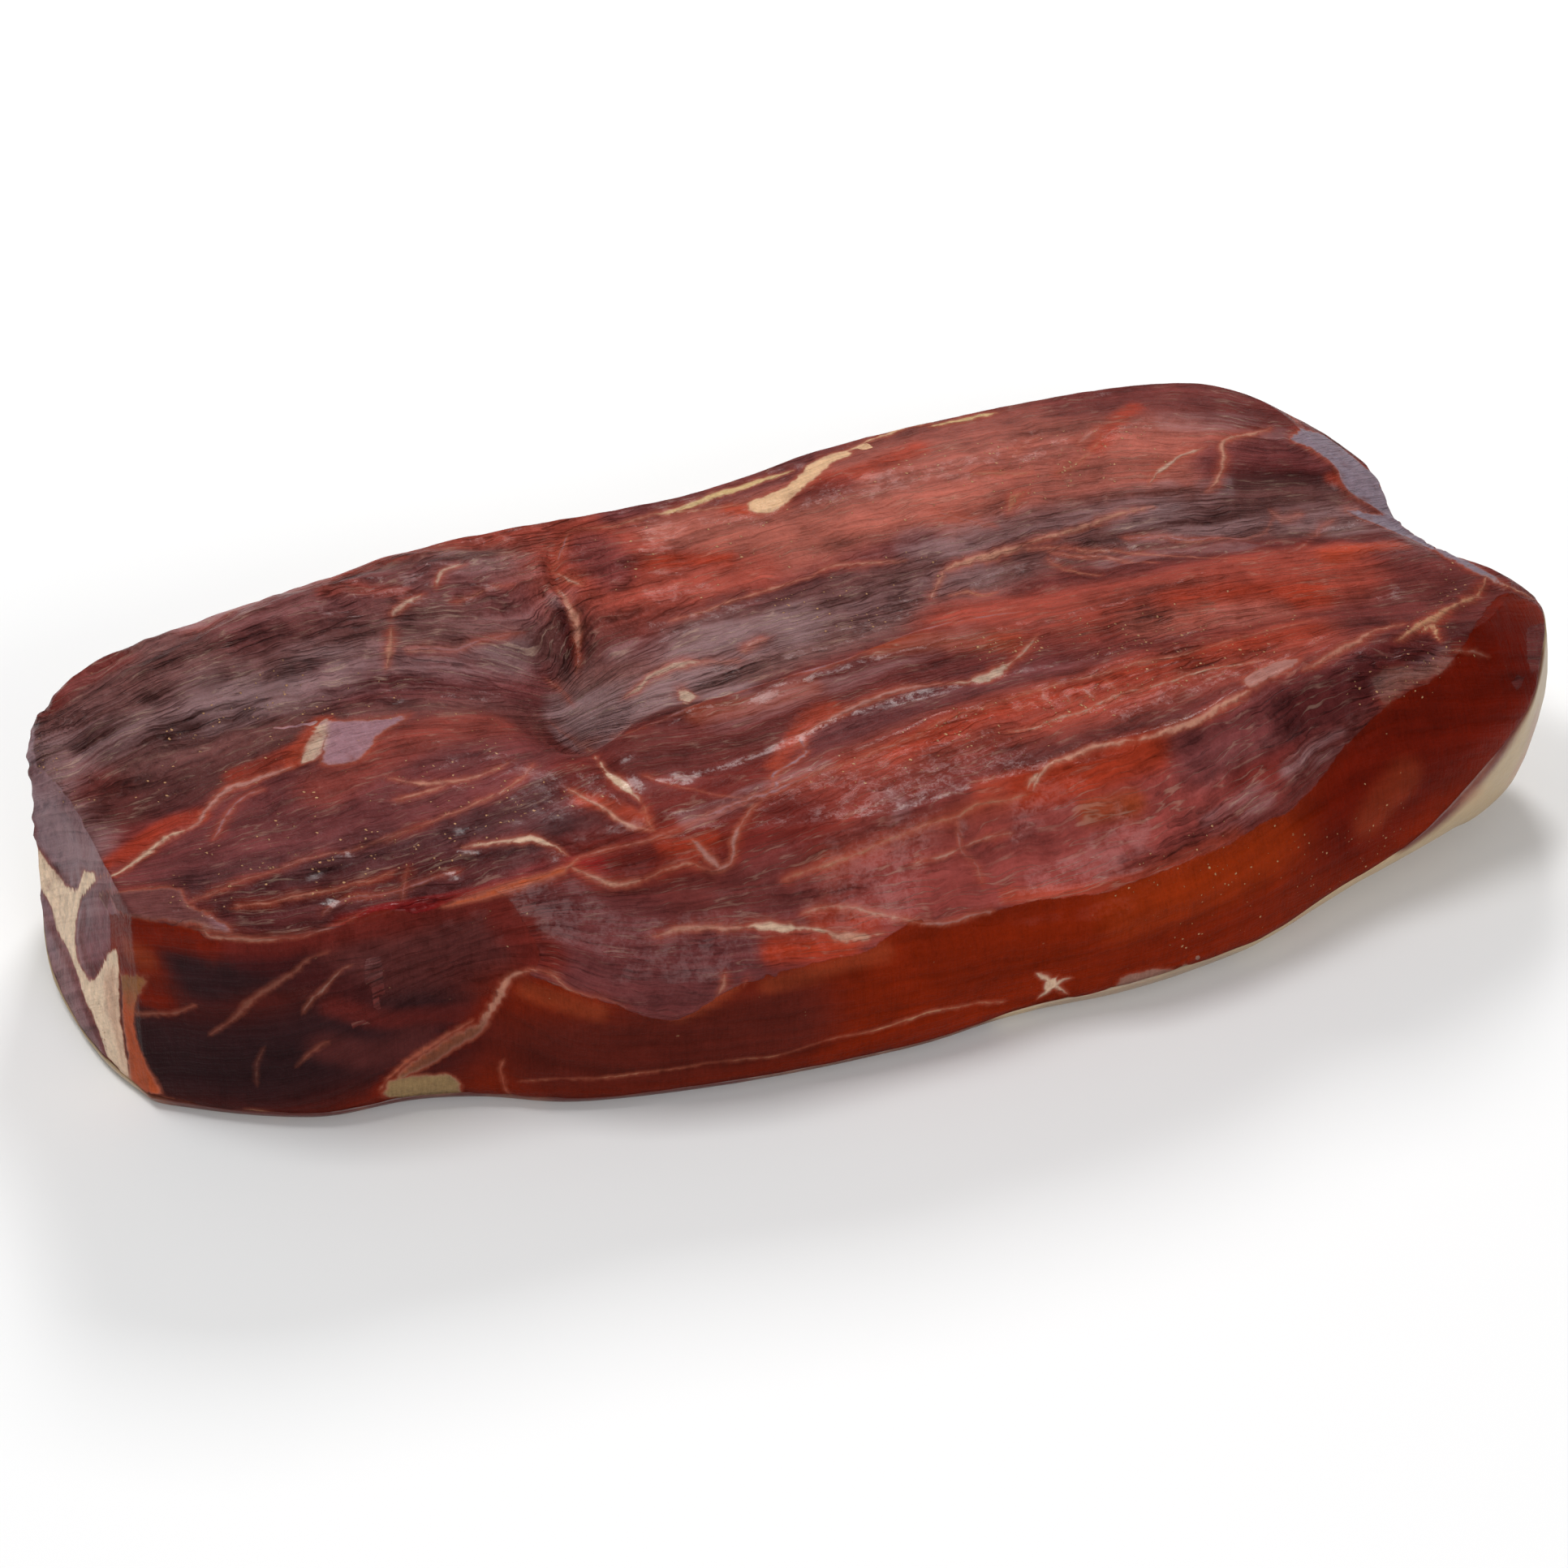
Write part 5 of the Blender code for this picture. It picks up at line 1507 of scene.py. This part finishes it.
@dataclass(kw_only=True)
class LeanBlock(MeatPiece):
    """The lean meat, with its fibres, seams, film and crags.

    Heights, depths and sizes are in millimetres. The slice face is where the mesh lies beyond
    slice_reach and looks toward the knuckle end by more than slice_lean.
    """

    node: str = "lean_meat"
    name: str = "lean_block"
    lump_height: float = 1.0
    crag_height: float = 2.0
    knot_height: float = 0.5
    groove_depth: float = 0.4
    lump_size: float = 17.0
    bulge_size: float = 8.0
    wander: float = 3.0
    wander_size: float = 9.0
    ridge_size: tuple[float, float, float] = (24.0, 5.0, 90.0)
    knot_size: float = 4.2
    slice_lean: float = 0.78
    slice_reach: float = -185.0

    def build(self) -> None:
        """Shapes and dresses the lean."""
        self.shape()
        places = self.places()
        painter = Painter(self.photo, places)
        order = painter.fibre_order(GRAINS)
        crags = painter.amount(CRAGS)
        seams = SeamField(self.photo, places)
        seams.lay(MARKS)
        self.store("flesh", "FLOAT_COLOR", painter.brushed(LEAN_GROUND, LEAN_BRUSHES))
        self.store("wall_flesh", "FLOAT_COLOR", painter.brushed(WALL_GROUND, WALL_BRUSHES))
        self.store("cut_flesh", "FLOAT_COLOR", painter.brushed(CUT_GROUND, CUT_BRUSHES))
        self.store("weave", "FLOAT_VECTOR", np.column_stack([order, crags, painter.depth(TRIMMED)]))
        self.store("cut", "FLOAT", self._slice(places))
        cover = [painter.amount(FILM_AND_SHEEN), painter.amount(FLECKS), painter.amount(WET)]
        self.store("cover", "FLOAT_VECTOR", np.column_stack(cover))
        for i, part in enumerate(SeamField.PARTS):
            self.store("seam_side_" + part, "FLOAT_VECTOR", seams.sides[:, 3 * i : 3 * i + 3])
            self.store("seam_half_" + part, "FLOAT_VECTOR", seams.halves[:, 3 * i : 3 * i + 3])
        self.store("seam_paint", "FLOAT_COLOR", np.column_stack([seams.paint, seams.solid]))
        self.push(self._relief(places, order, crags, seams))
        LeanFinish().dress(self.piece)
        self.join("lean_meat")

    def _slice(self, places: np.ndarray) -> np.ndarray:
        """Above zero on the slice face at the knuckle end, below zero elsewhere."""
        facing = -self.normals()[:, 0] - self.slice_lean
        return np.where(places[:, 0] < self.slice_reach, facing * 6, -3.0)

    def _relief(
        self, places: np.ndarray, order: np.ndarray, crags: np.ndarray, seams: SeamField
    ) -> np.ndarray:
        """How far each point stands out: lumps, crags along the fibres, and grooves by the seams."""
        lumps = lattice_noise(places / self.lump_size, 1) - 0.75
        lumps += 0.5 * lattice_noise(places / self.bulge_size, 2)
        order = order + self.wander * lattice_noise(places / self.wander_size, 5)
        fibres = np.column_stack([places[:, 0], order, places[:, 2]]) / self.ridge_size
        ridges = lattice_noise(fibres, 3) + 0.7 * lattice_noise(fibres * (2.6, 2.1, 1), 4) - 0.85
        knots = lattice_noise(places / self.knot_size, 6) - 0.5
        gap = (np.abs(seams.sides) - seams.halves).min(axis=1)
        grooves = np.exp(-((np.clip(gap, 0.0, None) - 1.0) ** 2) / 1.5)
        height = (
            self.lump_height * lumps * (0.6 + crags)
            + self.crag_height * ridges * (0.15 + crags)
            + self.knot_height * knots * (0.25 + crags)
            - self.groove_depth * grooves
        )
        for contour in CONTOURS:
            height += self._contour(contour, places)
        return height

    def _contour(self, contour: Contour, places: np.ndarray) -> np.ndarray:
        """Height that one contour adds at each point."""
        trace = self.photo.trace(contour.path)
        reach = contour.reach
        low, high = trace.points.min(0) - 3 * reach, trace.points.max(0) + 3 * reach
        inside = np.flatnonzero(np.all((places > low) & (places < high), axis=1))
        index, far = nearest_on(trace, places[inside])
        outward = trace.outward()[index]
        near_side = np.einsum("ij,ij->i", places[inside] - trace.points[index], outward)
        share = index / (len(trace.points) - 1)
        fade = np.clip(6 * share, 0.0, 1.0) * np.clip(6 * (1 - share), 0.0, 1.0)
        step = -contour.step * np.tanh(near_side / 1.6) * np.exp(-((far / reach) ** 2))
        rise = contour.rise * np.exp(-((2 * far / reach) ** 2))
        height = np.zeros(len(places))
        height[inside] = (step + rise) * fade
        return height


@dataclass(kw_only=True)
class FatCap(MeatPiece):
    """The layer of fat under the lean, its rim grown into the meat.

    Its waves are in millimetres and fade out below the height still_below, over the flat foot.
    """

    node: str = "fat_cap"
    name: str = "fat_layer"
    wave_height: float = 0.6
    wave_size: float = 15.0
    ripple_size: float = 6.0
    still_below: float = 6.0

    def build(self) -> None:
        """Shapes and dresses the fat."""
        self.shape()
        places = self.places()
        painter = Painter(self.photo, places)
        self.store("flesh", "FLOAT_COLOR", painter.brushed(FAT_GROUND, FAT_BRUSHES))
        waves = lattice_noise(places / self.wave_size, 7) - 0.75
        waves += 0.5 * lattice_noise(places / self.ripple_size, 8)
        lifted = np.clip(places[:, 2] / self.still_below, 0.0, 1.0)
        self.push(self.wave_height * waves * lifted)
        FatFinish().dress(self.piece)
        self.join("fat_cap")


@dataclass
class Studio:
    """A pale floor, a pale room and soft lamps, each with its place, its side and its watts."""

    floor_side: float = 12.0
    floor_grey: float = 0.86
    room_light: float = 0.30
    lamps: tuple[tuple[str, tuple, float, float], ...] = (
        ("back_light", (0.55, 1.25, 1.15), 0.5, 18.0),
        ("top_light", (-0.6, 0.2, 1.7), 0.6, 13.5),
        ("front_light", (0.1, -1.7, 0.8), 1.0, 16.0),
    )

    def build(self) -> None:
        """Makes the floor, the lamps and the room's light."""
        self._floor()
        self._room()
        for name, place, side, power in self.lamps:
            self._lamp(name, place, side, power)

    def _floor(self) -> None:
        """A plain floor just under the ham."""
        bm = bmesh.new()
        bmesh.ops.create_grid(bm, x_segments=1, y_segments=1, size=self.floor_side / 2)
        mesh = bpy.data.meshes.new("floor")
        bm.to_mesh(mesh)
        bm.free()
        floor = bpy.data.objects.new("floor", mesh)
        bpy.context.scene.collection.objects.link(floor)
        bench = Bench("floor_paint")
        grey = self.floor_grey
        bench.finish(floor, Base_Color=(grey, grey, grey, 1.0), Roughness=0.9)

    def _room(self) -> None:
        """Even light from all round."""
        world = bpy.data.worlds.new("room")
        world.use_nodes = True
        background = world.node_tree.nodes["Background"]
        background.inputs["Color"].default_value = (1.0, 1.0, 1.0, 1.0)
        background.inputs["Strength"].default_value = self.room_light
        bpy.context.scene.world = world
        bpy.context.scene.view_settings.view_transform = "Standard"

    def _lamp(self, name: str, place: tuple, side: float, power: float) -> None:
        """A square lamp that faces the ham.

        Args:
            name: The lamp's name.
            place: Where it hangs, in metres.
            side: Its width and height.
            power: Its power in watts.
        """
        data = bpy.data.lights.new(name, "AREA")
        data.size = side
        data.energy = power
        lamp = bpy.data.objects.new(name, data)
        lamp.location = place
        lamp.rotation_mode = "QUATERNION"
        lamp.rotation_quaternion = (-Vector(place)).to_track_quat("-Z", "Y")
        bpy.context.scene.collection.objects.link(lamp)


def corners(bounds: tuple[Vector, Vector]) -> list[list[float]]:
    """A box as plain lists of numbers."""
    return [[float(x) for x in corner] for corner in bounds]


def main() -> None:
    """Builds the ham around its solids, then the studio."""
    logging.basicConfig(level=logging.INFO, format="%(message)s")
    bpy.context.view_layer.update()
    camera = PhotoCamera()
    camera.build()
    photo = PhotoMap(camera)
    LeanBlock(photo=photo).build()
    FatCap(photo=photo).build()
    Studio().build()


if __name__ == "__main__":
    main()
